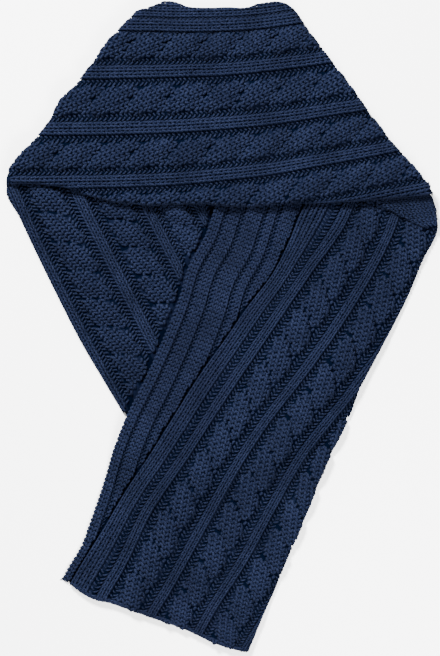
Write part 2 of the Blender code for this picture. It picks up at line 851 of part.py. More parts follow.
def core_mesh(mesh, faces):
    grid, room, low = core_grid(faces)
    height = fitted(grid, room, low)
    rows, columns = height.shape
    spots = np.concatenate([grid, height[..., None]], axis=2) * MM
    top = [[mesh.verts.new(spots[i, j]) for j in range(columns)] for i in range(rows)]
    for i in range(rows - 1):
        for j in range(columns - 1):
            mesh.faces.new((top[i][j], top[i][j + 1], top[i + 1][j + 1], top[i + 1][j]))
    left = [mesh.verts.new((*grid[i, 0] * MM, 0.0)) for i in range(rows)]
    right = [mesh.verts.new((*grid[i, -1] * MM, 0.0)) for i in range(rows)]
    for i in range(rows - 1):
        mesh.faces.new((left[i + 1], left[i], top[i][0], top[i + 1][0]))
        mesh.faces.new((right[i], right[i + 1], top[i + 1][-1], top[i][-1]))
        mesh.faces.new((left[i], left[i + 1], right[i + 1], right[i]))
    mesh.faces.new((left[0], right[0], *top[0][::-1]))
    mesh.faces.new((right[-1], left[-1], *top[-1]))


def joined_lines(mesh, first, second):
    """Triangles between two lines of vertices with different counts."""
    i = j = 0
    while i < len(first) - 1 or j < len(second) - 1:
        advance = j == len(second) - 1
        if i < len(first) - 1 and not advance:
            by_first = (first[i + 1].co - second[j].co).length
            by_second = (first[i].co - second[j + 1].co).length
            advance = by_first <= by_second
        if i < len(first) - 1 and advance:
            mesh.faces.new((first[i], first[i + 1], second[j]))
            i += 1
        else:
            mesh.faces.new((first[i], second[j + 1], second[j]))
            j += 1


def wall_mesh(mesh, outer, inner):
    """Closes an outer and an inner face with strips round their rims."""
    grids = []
    for face in (outer, inner):
        rows, columns = face.shape[:2]
        verts = [[mesh.verts.new(face[i, j] * MM) for j in range(columns)] for i in range(rows)]
        for i in range(rows - 1):
            for j in range(columns - 1):
                mesh.faces.new((verts[i][j], verts[i][j + 1], verts[i + 1][j + 1], verts[i + 1][j]))
        grids.append(verts)
    top, bottom = grids
    for i in range(len(top) - 1):
        for j in (0, -1):
            mesh.faces.new((top[i][j], top[i + 1][j], bottom[i + 1][j], bottom[i][j]))
    joined_lines(mesh, top[0], bottom[0])
    joined_lines(mesh, top[-1], bottom[-1])


def knit_material(name):
    material = bpy.data.materials.new(name)
    material.use_nodes = True
    shader = material.node_tree.nodes["Principled BSDF"]
    shader.inputs["Base Color"].default_value = NAVY
    shader.inputs["Roughness"].default_value = 0.95
    shader.inputs["Specular IOR Level"].default_value = 0.15
    shader.inputs["Sheen Weight"].default_value = 0.35
    material.diffuse_color = NAVY
    return material


def add_object(name, collection, mesh):
    bmesh.ops.recalc_face_normals(mesh, faces=mesh.faces)
    if mesh.calc_volume(signed=True) < 0:
        bmesh.ops.reverse_faces(mesh, faces=mesh.faces)
    data = bpy.data.meshes.new(name)
    mesh.to_mesh(data)
    mesh.free()
    data.polygons.foreach_set("use_smooth", [True] * len(data.polygons))
    data.materials.append(knit_material(name + "_knit"))
    collection.objects.link(bpy.data.objects.new(name, data))


def main():
    for existing in list(bpy.data.objects):
        bpy.data.objects.remove(existing, do_unlink=True)
    collection = bpy.data.collections.new("scarf")
    bpy.context.scene.collection.children.link(collection)
    walls = {
        "neck_band": band_wall(),
        "right_tail": right_wall(),
        "left_tail": left_wall(),
        "right_tail_under_layer": under_wall(),
        "corner_tuck": tuck_wall(),
    }
    faces = []
    for name, wall in walls.items():
        outer, inner = wall.surface(False), wall.surface(True)
        faces += [outer, inner]
        mesh = bmesh.new()
        wall_mesh(mesh, outer, inner)
        add_object(name, collection, mesh)
    mesh = bmesh.new()
    core_mesh(mesh, faces)
    add_object("hidden_layers", collection, mesh)


main()
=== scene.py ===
"""Knit scarf laid flat: the yarn, the shell under it, and the light and camera of its photograph."""

import math

import bmesh
import bpy
import numpy as np
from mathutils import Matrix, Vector
from mathutils.kdtree import KDTree


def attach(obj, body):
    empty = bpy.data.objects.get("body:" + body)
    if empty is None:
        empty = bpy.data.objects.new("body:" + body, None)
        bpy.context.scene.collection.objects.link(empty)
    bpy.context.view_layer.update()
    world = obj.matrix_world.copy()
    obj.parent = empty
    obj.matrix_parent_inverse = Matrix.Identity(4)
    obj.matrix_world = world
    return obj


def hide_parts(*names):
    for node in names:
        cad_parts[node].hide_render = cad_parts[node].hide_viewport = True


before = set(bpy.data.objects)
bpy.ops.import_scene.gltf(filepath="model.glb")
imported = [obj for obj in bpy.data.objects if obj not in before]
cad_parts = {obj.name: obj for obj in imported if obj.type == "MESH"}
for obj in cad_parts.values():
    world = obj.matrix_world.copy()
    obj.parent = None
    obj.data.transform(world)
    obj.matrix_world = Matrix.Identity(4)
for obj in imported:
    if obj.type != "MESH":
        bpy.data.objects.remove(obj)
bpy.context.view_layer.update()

MM = 0.001

# Knit cloth: the width of one wale of each kind, on the band and on the tails, which lie narrower.
BAND_WALES = {"border": 6.6, "purl": 4.6, "rib": 8.0, "cable": 7.8}
TAIL_WALES = {"border": 6.4, "purl": 4.7, "rib": 5.6, "cable": 7.0}
BORDER = (("border", 3), ("purl", 2))
REPEAT = (("rib", 2), ("purl", 2), ("cable", 4), ("purl", 2))
REPEATS = 8
REPEAT_WALES = 10
RIBS = range(6, 6 + REPEAT_WALES * REPEATS, REPEAT_WALES)
CABLES = range(11, 11 + REPEAT_WALES * REPEATS, REPEAT_WALES)

# Cables: from one crossing to the next, and which way the strand on top leans as the stations go up.
# A cloth with no cables leans 0.
BAND_CROSSING = 43.4
RIGHT_CROSSING = 39.2
LEFT_CROSSING = 36.2
BAND_LEAN = -1
RIGHT_LEAN = 1
LEFT_LEAN = -1
ROWS_A_CROSSING = 8

# Layers and what is raised on them.
WALL = 3.0
GAP = 0.4
PAIR = 7.0
RIB_RAISE = 1.8
CABLE_RAISE = 4.2
BORDER_RAISE = 0.7
CAST_OFF_RAISE = 1.3
PRESSED = 0.5
PRESSED_OVER = 14.0

# How much each layer beneath lifts the ones above it, and the length over which that fades.
LEFT_TAIL_LIFT = 9.5
UNDER_LIFT = 3.9
RIGHT_TAIL_LIFT = 5.6
TUCK_LIFT = 3.7
SLACK_LIFT = 3.4
SLACK_BELOW = -90.0
SLACK_BESIDE = 175.0
TUCK_FROM = 130.0
TUCK_RISE = 38.0
TUCK_ABOVE = 6.0
TURN_TOP = 196.0
TURN_RISE = 26.0
FADE = 50.0

# Folds: the radius seen from above.
TAIL_FOLD = 7.0
BAND_FOLD = 7.5
TURN_FOLD = 12.0

# How each kind of side goes round: its radius if it is an edge, how far it comes down, where it ends.
EDGE_ROLL = 2.6
ROLL_HIGH = {"fold": 5.4, "edge": 1.9, "hidden": 1.0}
ROLL_END = math.radians(130.0)
ROLL_LAST = {"fold": ROLL_END, "edge": math.radians(100.0), "hidden": 0.0}
ROLL_ANGLES = np.linspace(0.0, ROLL_END, 90)
EDGE_FALL = 1.1
TURN_ROUNDS = 3
TURN_FLAT = 0.85
STEP = 0.6
IN_SIGHT = 1.0
IN_SIGHT_TURN = 0.97

# Hidden margins of the cloth under its neighbours, and how far strands may lie past an edge. At the
# band's corners strands end at an x, and the shell a little further out.
UNDER_BAND = 12.0
UNDER_NEIGHBOUR = 9.0
BESIDE = 0.8
BESIDE_TOP = 1.8
# EDGE_SHADE is the width of that painted shadow: a strip without strands where the dark shell shows along an
# edge above.
EDGE_SHADE = 2.2
CORNERS = (-246.5, 240.6)
CORNER_SPARE = 1.4

# Yarn: its half width and half height in each kind of stitch, and the form of a strand.
YARN = 1.42
YARN_HIGH = 1.35
YARN_ENDS = 0.62
CABLE_YARN = 1.9
CABLE_LEG = 0.92
CABLE_HIGH = 3.2
CABLE_DIP = 0.3
CABLE_HALF = 2.08
LOBE_LEAN = 0.15
LOBE_BOW = 0.12
LOBE_SLANT = 0.36
LOBE_TOP = 1.8
LOBE_LOW = -2.3
LOBE_WAIST = 0.34
LOBE_END = 0.955
PURL_YARN = 1.3
PURL_DEEP = 2.0
PURL_SLANT = 0.3
PURL_HALF = 0.46
CHAIN_STITCH = 5.6
TUCK_LANE = 5.2
LEG_POINTS = 4
LEG_MIDDLE = 2
LEG_SIDES = 5
FIRST_SIDE = math.pi / 6
LEG = np.linspace(0, 1, LEG_POINTS)
BOW = 1 - (2 * LEG - 1) ** 2
UV_LENGTH = 10.0
MARGIN = 20.0
LOW = -1.2
FLOOR_CLEAR = 0.25
SEED = 11

# The shell that the stitches lie on.
SHELL_UNDER = 2.0
SHELL_STEP = 3.4
SHELL_ROUNDS = 25
SHELL_CLEAR = 1.1
CABLE_FILL = 0.9

# Colours, and what the materials need.
YARN_COLOUR = (0.0028, 0.0044, 0.0122)
# The shell's colour is painted shade: a near-black navy that shows as shadow in the gaps between the strands.
SHELL_PAINTED_SHADE = (0.0004, 0.0011, 0.0036)
GROUND_TONE = 0.62
SHEEN = 0.02
SHEEN_TINT = (0.50, 0.62, 1.0, 1.0)
PLIES = 3
OUTWARD_V = 60.0 / 360.0
LAYER_HIGH = 5.5

# Light and camera, in metres and watts.
WORLD_LIGHT = 1.0
KEY_WATTS = 700.0
FILL_WATTS = 42.0
FLOOR_HALF = 6.0
CENTRE = (-0.0023, -0.0017)
MIDDLE_HIGH = 0.008
VIEW_HIGH = 0.7544

# The first and last wale of each piece of a patterned cloth.
WALE_GROUPS = {
    "neck_band": ((0, 14), (15, 24), (25, 34), (35, 56)),
    "right_tail": ((0, 14), (15, 24), (25, 34), (35, 50)),
    "left_tail": ((5, 24), (25, 34), (35, 56)),
}

# The inner side of the cloth: lanes by their edge, number and width, and the grooves between them.
UNDER_LANES = (
    (0.8, 2, 6.0), (17.0, 3, 4.9), (36.5, 4, 4.9), (61.0, 2, 4.9), (76.0, 4, 4.9), (101.0, 2, 4.9),
)
UNDER_GROOVES = ((13.0, 16.8), (31.9, 36.3), (56.3, 60.8), (71.0, 75.8), (95.8, 100.8))

SOFT_FOLDS = (
    # x, y, direction_deg, length, width, rise
    (60.0, 300.0, 8.0, 90.0, 20.0, 1.0),
    (-150.0, 240.0, 0.0, 80.0, 22.0, -0.9),
    (0.0, 170.0, 4.0, 120.0, 16.0, 0.9),
    (110.0, 20.0, 60.0, 90.0, 18.0, 1.0),
    (20.0, -150.0, 58.0, 110.0, 20.0, -0.8),
    (-60.0, -260.0, 62.0, 90.0, 18.0, 0.9),
)


def smooth(knots, values, at):
    """Cubic through the rows of a table, with slopes from their neighbours and straight ends."""
    slopes = np.gradient(values, knots)
    row = np.clip(np.searchsorted(knots, at) - 1, 0, len(knots) - 2)
    span = knots[row + 1] - knots[row]
    t = np.clip((at - knots[row]) / span, 0.0, 1.0)
    start = (1 + 2 * t) * (1 - t) ** 2 * values[row] + t * (1 - t) ** 2 * span * slopes[row]
    end = t * t * (3 - 2 * t) * values[row + 1] + t * t * (t - 1) * span * slopes[row + 1]
    before = np.minimum(at - knots[0], 0.0) * slopes[0]
    after = np.maximum(at - knots[-1], 0.0) * slopes[-1]
    return start + end + before + after


def ease(value):
    """0 to 1 with level ends."""
    t = np.clip(value, 0.0, 1.0)
    return t * t * (3 - 2 * t)


def curve(table):
    """The second column of a plan curve as a function of the first."""
    knots, values = np.array(table).T
    return lambda at: smooth(knots, values, at)


# Plan curves of the edges and folds, as pairs of the two coordinates that each names.
top_edge = curve((
    # x, y
    (-128.8, 352), (-98.9, 362.3), (-82, 367), (-66, 373.6), (-54, 373), (-40, 367.6),
    (-25.3, 366.2), (8, 367), (28.7, 366.6), (42, 371), (64.4, 373.2), (74, 370.8),
    (84, 363.4), (118.4, 347.9),
))
left_turn = curve((
    # y, x
    (145.5, -250.8), (159.3, -249.9), (177, -247.6), (194.9, -235.6), (209.9, -221.6), (229.4, -204.6),
    (248, -193), (260, -185.5), (269, -176.8), (282.3, -165.8), (299.6, -153), (312.2, -142.6),
    (330.6, -128.6), (345, -116.2), (362.8, -99.1), (380.1, -83),
))
right_turn = curve((
    # y, x
    (138.6, 249.5), (152.4, 244.6), (165, 236.6), (180, 223.6), (196, 210.6), (207.6, 200),
    (219, 190.6), (237.5, 175.6), (249, 168), (269, 154), (289.2, 138.6), (304.2, 127.6),
    (320.3, 115.6), (332, 105.4), (341, 99.6), (359.4, 87.8), (380.1, 73.8),
))
lower_fold = curve((
    # x, y
    (-266.8, 161.6), (-232.3, 163.9), (-186.3, 160.4), (-151.8, 150.1), (-128.8, 144.3), (-82.8, 139.7),
    (-25.3, 140.9), (20.7, 137.4), (89.7, 140.9), (147.2, 143.2), (204.7, 147.8), (243.8, 151.2),
    (262.2, 153.5),
))
right_edge = curve((
    # y, x
    (-374.3, 30.4), (-349, 40.6), (-328.3, 49.2), (-293.8, 65), (-257, 80.6), (-231.7, 91.2),
    (-193.8, 105.6), (-151.2, 123.2), (-107.5, 144.9), (-65, 162.4), (-21.3, 185.2), (24.7, 209.1),
    (74.2, 231), (120.2, 249.2), (140, 245), (157, 236), (170, 222),
))
cast_off = curve((
    # x, y
    (-209.3, -279.5), (-179.4, -294.5), (-151.8, -312.4), (-128.8, -318.5), (-82.8, -334.6),
    (-36.8, -351.2), (-8, -364.8), (20.7, -373.2), (46, -376.4),
))
crease = curve((
    # y, x
    (-300.7, -177.1), (-276.6, -163.3), (-234, -136.8), (-185.7, -108.1), (-147.8, -82.8),
    (-105.2, -56.3), (-55.8, -25.3), (-15.5, 3.4), (21.3, 28.7), (59.2, 57.5), (99.5, 78.2),
    (128.2, 89.7), (162.7, 104.6),
))
open_edge = curve((
    # y, x
    (-303, -188.5), (-283.5, -181), (-253.6, -163.4), (-220.2, -150.9), (-182.3, -137.9),
    (-138.6, -124.8), (-107.5, -112.4), (-55.8, -87), (-15.5, -69), (30.5, -50.6), (74.2, -36.8),
    (105.2, -19.5), (136.3, -9.2), (162.7, -1.1),
))
left_edge = curve((
    # y, x
    (-165, -80.5), (-108.7, -108.6), (-55.8, -140), (-15.5, -163.8), (30.5, -187.5), (76.5, -210.1),
    (124.8, -233.2), (159.3, -249), (172, -243), (186, -229),
))
tuck_edge = curve((
    # x, y
    (160, 146), (179.4, 139.7), (204.7, 127.1), (227.7, 115.6), (262, 110),
))

# The lie of the wales: a spine with the direction across it, and the distances of some ribs from it.
BAND = (
    # x, y, course_deg, rib_a, rib_b, rib_d, rib_e
    (-278, 226.5, 270, -119.5, -64.5, 61, 118),
    (-198, 226.5, 270, -119.5, -64.5, 61, 118),
    (-117.5, 227.5, 271, -118.5, -64.5, 61, 118),
    (-37, 230.5, 273.5, -115, -63.5, 60, 117),
    (43.5, 237, 276, -111.5, -62, 57.5, 113),
    (124, 248, 278.5, -110.5, -61, 54.5, 109),
    (204.5, 261, 280.5, -109, -60.5, 52, 106),
    (285, 276.5, 281.5, -109, -60.5, 52, 106),
)
RIGHT_TAIL = (
    # x, y, course_deg, rib_a, rib_c
    (248, 265, -18, -54, 60),
    (229, 213, -19, -54, 60),
    (209, 157, -21, -54, 60),
    (187.5, 99.5, -25, -54, 60),
    (149.5, 30.5, -31, -62, 61),
    (101, -41, -36, -62, 58),
    (46, -113.5, -35, -56.5, 56),
    (7, -174, -30.5, -56.5, 60),
    (-29, -240, -29, -64, 60),
    (-65.5, -305.5, -25, -60, 56),
    (-80, -329.5, -21.5, -60, 57.5),
    (-103, -388, -21.5, -60, 57.5),
)
LEFT_TAIL = (
    # x, y, course_deg, rib_b, rib_c, rib_e
    (-198, 222, 205, -118, -65.5, 66),
    (-172.5, 166, 205, -118, -65.5, 66),
    (-157.5, 134, 206.5, -118, -65.5, 67),
    (-135.5, 90.5, 208, -118, -65.5, 68),
    (-88.5, -1.5, 208, -121, -65.5, 68),
    (-37, -100.5, 208, -121, -65.5, 66),
    (-10, -152, 208, -121, -65.5, 66),
    (37, -241, 208, -121, -65.5, 66),
)
UNDER = (
    # x, y, course_deg
    (30, 235, -22),
    (-1, 157, -22),
    (-19.5, 105.2, -22),
    (-50.6, 30.5, -21),
    (-86.2, -55.8, -23),
    (-109.2, -107.5, -21),
    (-133.4, -182.3, -18.5),
    (-159.8, -253.6, -22),
    (-177.1, -283.5, -24),
    (-200, -330, -24),
)
TUCK = (
    # x, y, course_deg
    (120, 152, -80),
    (176, 147.5, -78),
    (206, 141, -74),
    (236, 134.5, -70),
    (290, 116, -70),
)

# Where one crossing of each cable is centred, along its stretch, by the cable's middle wale.
BAND_CROSSINGS = {11: 261, 21: 262, 31: 262, 41: 263}
RIGHT_CROSSINGS = {11: 262, 21: 258, 31: 258}
LEFT_CROSSINGS = {21: 166, 31: 163, 41: 157}

# Straight lines that bound what lies beneath: the left tail's fold, its open edge and its end, and the
# open edges of the right tail's two layers.
LEFT_TAIL_FOLD = ((-249.5, 159.3), (-109.2, -108.7))
LEFT_TAIL_OPEN = ((-98.9, 362.8), (147, -108.5))
LEFT_TAIL_END = ((153, -90), (-60, -199.5))
UNDER_OPEN = ((87.4, 360.5), (-9.2, 136.3))
RIGHT_TAIL_OPEN = ((145, 252), (89.7, 128.2))

GROUPS = BORDER + REPEAT * REPEATS
WALES = np.arange(sum(count for _, count in GROUPS) + 1)


def wales_at(widths):
    """Distance of each wale from the open edge."""
    each = [widths[kind] for kind, count in GROUPS for _ in range(count)]
    return np.concatenate([[0.0], np.cumsum(each)])


def first_change(side):
    """Index, with its fraction, of the first change of sign in each row; NaN where there is none."""
    changed = np.sign(side[:, :-1]) != np.sign(side[:, 1:])
    index = changed.argmax(axis=1)
    rows = np.arange(len(side))
    before, after = side[rows, index], side[rows, index + 1]
    found = index + before / np.where(before == after, 1.0, before - after)
    return np.where(changed.any(axis=1), found, np.nan)


def lookup(at, values):
    """Interpolates a sampled function, carried on level past the samples that have a value."""
    known = ~np.isnan(values)
    return lambda where: np.interp(where, at[known], values[known])


PLAIN_ANCHOR = ((0, None, 0.0),)
COARSE = 120
FINE = 600
HALVINGS = 26


class Stretch:
    """A length of cloth laid along a spine, with the distances from it to some of its wales."""

    def __init__(
        self, rows, anchors=PLAIN_ANCHOR, widths=TAIL_WALES, crossings=None, crossing=RIGHT_CROSSING, lean=0,
        way=1.0,
    ):
        self.table = np.array(rows)
        self.anchors = anchors
        self.wale_at = wales_at(widths)
        self.crossings = crossings or {}
        self.crossing = crossing
        self.lean = lean
        self.way = way
        steps = np.hypot(*np.diff(self.table[:, :2], axis=0).T)
        self.stations = np.concatenate([[0.0], np.cumsum(steps)])
        self.length = self.stations[-1]

    def column(self, index, station):
        return smooth(self.stations, self.table[:, index], station)

    def across(self, wale, station):
        """Distance from the spine to a wale: through the anchors, and by plain widths past them."""
        at = np.interp(wale, WALES, self.wale_at)
        known = []
        for anchor, column, offset in self.anchors:
            lies = 0.0 * station if column is None else self.column(column, station)
            known.append((self.wale_at[anchor], lies + offset))
        distance = known[0][1] + np.minimum(at - known[0][0], 0.0) + np.maximum(at - known[-1][0], 0.0)
        for (at_a, from_a), (at_b, from_b) in zip(known, known[1:]):
            share = np.clip((at - at_a) / (at_b - at_a), 0.0, 1.0)
            distance = distance + share * (from_b - from_a)
        return distance

    def wale(self, across, station):
        """The wale at a distance from the spine."""
        low = np.zeros(np.broadcast(across, station).shape)
        high = low + WALES[-1]
        for _ in range(HALVINGS):
            middle = (low + high) / 2
            below = self.across(middle, station) < across
            low = np.where(below, middle, low)
            high = np.where(below, high, middle)
        return (low + high) / 2

    def plan(self, across, station):
        heading = np.radians(self.column(2, station))
        x = self.column(0, station) + across * np.cos(heading)
        y = self.column(1, station) + across * np.sin(heading)
        return x, y

    def by_distance(self, meets, low, high):
        """The first station at which the cloth meets a curve, by the distance from the spine."""
        stations = np.linspace(0.0, self.length, FINE)
        distances = np.linspace(low, high, COARSE)
        side = meets(*self.plan(distances[:, None], stations[None, :]))
        return lookup(distances, first_change(side) * (stations[1] - stations[0]))

    def by_station(self, meets, low, high):
        """The first distance from the spine at which the cloth meets a curve, by the station."""
        stations = np.linspace(0.0, self.length, COARSE)
        distances = np.linspace(low, high, FINE)
        side = meets(*self.plan(distances[None, :], stations[:, None]))
        return lookup(stations, low + first_change(side) * (distances[1] - distances[0]))


# A wale, the column that gives its distance from the spine, and how far beside that it runs. Along the
# band's top edge the cloth is bunched, so the purl grooves beside the first rib are closed up.
bunched = ((3, 3, -9.5), (5, 3, -7.0), (7, 3, 7.0), (9, 3, 9.5))
band_ribs = (*bunched, (16, 4, 0.0), (26, None, 0.0), (36, 5, 0.0), (46, 6, 0.0))
right_ribs = ((6, 3, 0.0), (16, None, 0.0), (26, 4, 0.0))
left_ribs = ((16, 3, 0.0), (26, 4, 0.0), (36, None, 0.0), (46, 5, 0.0))
band = Stretch(BAND, band_ribs, BAND_WALES, BAND_CROSSINGS, BAND_CROSSING, BAND_LEAN)
right_tail = Stretch(RIGHT_TAIL, right_ribs, TAIL_WALES, RIGHT_CROSSINGS, RIGHT_CROSSING, RIGHT_LEAN)
left_tail = Stretch(LEFT_TAIL, left_ribs, TAIL_WALES, LEFT_CROSSINGS, LEFT_CROSSING, LEFT_LEAN, way=-1.0)
under = Stretch(UNDER)
tuck = Stretch(TUCK)


def left_of(x, y, line):
    """Distance to the left of a line, seen along it."""
    (x0, y0), (x1, y1) = line
    return ((x1 - x0) * (y - y0) - (y1 - y0) * (x - x0)) / math.hypot(x1 - x0, y1 - y0)


def inside(distance):
    """1 inside an edge, fading to 0 outside it."""
    return ease(1 + distance / FADE)


def left_tail_lift(x, y):
    """What the left tail lifts, and beside its open edge the slack that hangs over from it."""
    cover = inside(left_of(x, y, LEFT_TAIL_FOLD)) * inside(-left_of(x, y, LEFT_TAIL_OPEN))
    cover = cover * inside(-left_of(x, y, LEFT_TAIL_END)) * ease((right_edge(y) - x) / FADE)
    hangs = ease((y - SLACK_BELOW) / FADE) * ease((SLACK_BESIDE - x) / FADE)
    return LEFT_TAIL_LIFT * cover + SLACK_LIFT * (1 - cover) * hangs


def tuck_lift(x, y):
    return TUCK_LIFT * ease((x - TUCK_FROM) / TUCK_RISE) * ease(1 - (y - lower_fold(x) - TUCK_ABOVE) / FADE)


def band_rests_at(x, y):
    lift = left_tail_lift(x, y) + UNDER_LIFT * inside(left_of(x, y, UNDER_OPEN))
    return lift + RIGHT_TAIL_LIFT * inside(left_of(x, y, RIGHT_TAIL_OPEN)) + tuck_lift(x, y)


def band_turn_rests_at(x, y):
    """The diagonals go down to the floor, and near the corners to the tails that start there."""
    return LEFT_TAIL_LIFT * ease((TURN_TOP - y) / TURN_RISE)


def band_ground(x, y):
    return band_rests_at(x, y) + PAIR


def tail_ground(x, y):
    return left_tail_lift(x, y) + PAIR


def left_ground(x, y):
    return PAIR + 0.0 * x


def under_ground(x, y):
    return left_tail_lift(x, y) + WALL


def tuck_ground(x, y):
    return tail_ground(x, y) + PRESSED * CABLE_RAISE + GAP + WALL


def floor(x, y):
    return 0.0 * x


def pressed(distance):
    """The pattern is flatter where another layer lies on it or close by."""
    return 1 - (1 - PRESSED) * ease(1 - distance / PRESSED_OVER)


def unpressed(x, y):
    return 1.0 + 0.0 * x


def right_press(x, y):
    return pressed(np.minimum(lower_fold(x), tuck_edge(x)) - y)


def left_press(x, y):
    return pressed(lower_fold(x) - y) * pressed(open_edge(y) - x)


# Where strands may lie: a little past each edge, and not in a painted shadow along an edge that lies over
# them, where they are left out so that the dark shell shows.
def everywhere(x, y):
    return x == x


def in_band(x, y):
    across = (x > left_turn(y) - 2 * BESIDE) & (x < right_turn(y) + 2 * BESIDE)
    corners = (x > CORNERS[0]) & (x < CORNERS[1])
    return across & corners & (y > lower_fold(x) - BESIDE) & (y < top_edge(x) + BESIDE_TOP)


def in_right_tail(x, y):
    return (x < right_edge(y) + BESIDE) & (y > cast_off(x) - BESIDE) & (x > crease(y) - BESIDE)


def in_left_tail(x, y):
    return (x > left_edge(y) - BESIDE) & ((x < open_edge(y) - EDGE_SHADE) | (y > lower_fold(x) - BESIDE))


def in_under_layer(x, y):
    return (x > open_edge(y) - BESIDE) & (x < crease(y) - EDGE_SHADE) & (y > cast_off(x) - BESIDE)


def slack(x, y):
    """Soft troughs and ridges that the cloth is left with where it was laid down by hand."""
    height = 0.0 * x
    for cx, cy, angle, length, width, rise in SOFT_FOLDS:
        turn = math.radians(angle)
        along = (x - cx) * math.cos(turn) + (y - cy) * math.sin(turn)
        over = -(x - cx) * math.sin(turn) + (y - cy) * math.cos(turn)
        height = height + rise * np.exp(-((along / length) ** 2) - (over / width) ** 2)
    return height


class Roll:
    """How the cloth goes round one side: its own length along the roll against the angle turned."""

    def __init__(self, kind, radius=EDGE_ROLL, rests_at=floor):
        self.kind = kind
        self.radius = 0.0 if kind == "hidden" else radius
        self.rests_at = rests_at
        self.last = ROLL_LAST[kind]
        steps = np.hypot(self.radius * np.cos(ROLL_ANGLES), ROLL_HIGH[kind] * np.sin(ROLL_ANGLES))
        self.lengths = np.concatenate([[0.0], np.cumsum((steps[1:] + steps[:-1]) / 2 * np.diff(ROLL_ANGLES))])
        self.reach = float(np.interp(self.last, ROLL_ANGLES, self.lengths)) if self.radius else 0.0

    def turned(self, beyond):
        """(inset, share of the way down, angle) at a length of cloth past the start of the roll."""
        if not self.radius:
            return -beyond, 0.0 * beyond, 0.0 * beyond
        angle = np.interp(beyond, self.lengths, ROLL_ANGLES)
        inset = self.radius * (1 - np.sin(angle)) - np.minimum(beyond, 0.0)
        return inset, (1 - np.cos(angle)) / (1 - math.cos(ROLL_END)), angle


def unit(vectors):
    return vectors / (np.linalg.norm(vectors, axis=-1, keepdims=True) + 1e-9)


class Cloth:
    """A stretch's outer face as a map from a place in the cloth, across and along, to a point in space."""

    def __init__(
        self, stretch, ground, bounds, rolls, within=everywhere, press=unpressed, cast_off_end=False
    ):
        self.stretch = stretch
        self.ground = ground
        self.start, self.end, self.low, self.high = bounds
        start_roll, end_roll, low_roll, high_roll = rolls
        self.rolls = (low_roll, high_roll, start_roll, end_roll)
        self.within = within
        self.press = press
        self.cast_off_end = cast_off_end
        middle = stretch.length / 2
        centre = (self.low(middle) + self.high(middle)) / 2
        flat = [self.place(centre + da, middle + ds) for da, ds in ((0, 0), (1, 0), (0, 1))]
        self.outward = math.copysign(1.0, np.cross(flat[2] - flat[0], flat[1] - flat[0])[2])

    def turned(self, across, station):
        """Where a place in the cloth lies in the plan, and how far it has turned at each side."""
        low_roll, high_roll, start_roll, end_roll = self.rolls
        a, s = across, station
        for _ in range(TURN_ROUNDS):
            low, high, start, end = self.low(s), self.high(s), self.start(a), self.end(a)
            turns = (
                low_roll.turned(low + low_roll.radius - across),
                high_roll.turned(across - high + high_roll.radius),
                start_roll.turned(start + start_roll.radius - station),
                end_roll.turned(station - end + end_roll.radius),
            )
            a = np.where(across < (low + high) / 2, low + turns[0][0], high - turns[1][0])
            s = np.where(station < (start + end) / 2, start + turns[2][0], end - turns[3][0])
        return a, s, turns

    def place(self, across, station):
        a, s, turns = self.turned(across, station)
        x, y = self.stretch.plan(a, s)
        z = self.ground(x, y) + slack(x, y)
        beside = self.rolls[1].rests_at(x, y)
        below = np.minimum(self.rolls[2].rests_at(x, y), beside)
        for roll, (_, down, _), lowest in zip(self.rolls, turns, (beside, beside, below, below)):
            if roll.kind == "fold":
                z = z + (lowest - z) * down
            elif roll.kind == "edge":
                z = z - WALL * EDGE_FALL * down
        return np.stack([x, y, z], axis=-1)

    def frame(self, across, station):
        """The point and the direction that points out of the cloth."""
        along = self.place(across, station + STEP) - self.place(across, station - STEP)
        over = self.place(across + STEP, station) - self.place(across - STEP, station)
        return self.place(across, station), unit(np.cross(along, over)) * self.outward

    def shown(self, across, station):
        """True where the outer face is in sight from outside, roll and all."""
        a, s, turns = self.turned(across, station)
        ok = (a >= self.low(s) - IN_SIGHT) & (a <= self.high(s) + IN_SIGHT)
        ok &= (s >= self.start(a) - IN_SIGHT) & (s <= self.end(a) + IN_SIGHT)
        for roll, (_, _, angle) in zip(self.rolls, turns):
            if roll.radius:
                ok &= angle < roll.last * IN_SIGHT_TURN
        return ok

    def raised(self, across, station):
        """How much of what stands up is left: it is flatter where the cloth goes round a side."""
        down = np.maximum.reduce([down for _, down, _ in self.turned(across, station)[2]])
        return 1 - TURN_FLAT * ease(down / 0.5)

    def column(self, wale, station):
        """Where a wale runs. Up to the open edge, a cast-off cloth's wales share what room there is."""
        at = self.stretch.across(wale, station)
        if not self.cast_off_end:
            return at
        first = self.stretch.anchors[0][0]
        anchor = self.stretch.across(first, station)
        limit = self.low(station) + self.rolls[0].radius - self.rolls[0].reach
        share = np.interp(wale, WALES, self.stretch.wale_at) / self.stretch.wale_at[first]
        return np.where(wale < first, limit + (anchor - limit) * share, at)

    def relief(self, wale, station):
        """Height of the borders and ribs where a wale runs."""
        x, y = self.stretch.plan(self.column(wale, station), station)
        return ground_relief(wale) * self.press(x, y)


def meets_y(function, margin=0.0):
    return lambda x, y: y - function(x) - margin


def meets_x(function, margin=0.0):
    return lambda x, y: x - function(y) - margin


def fixed(value):
    return lambda at: value + 0.0 * at


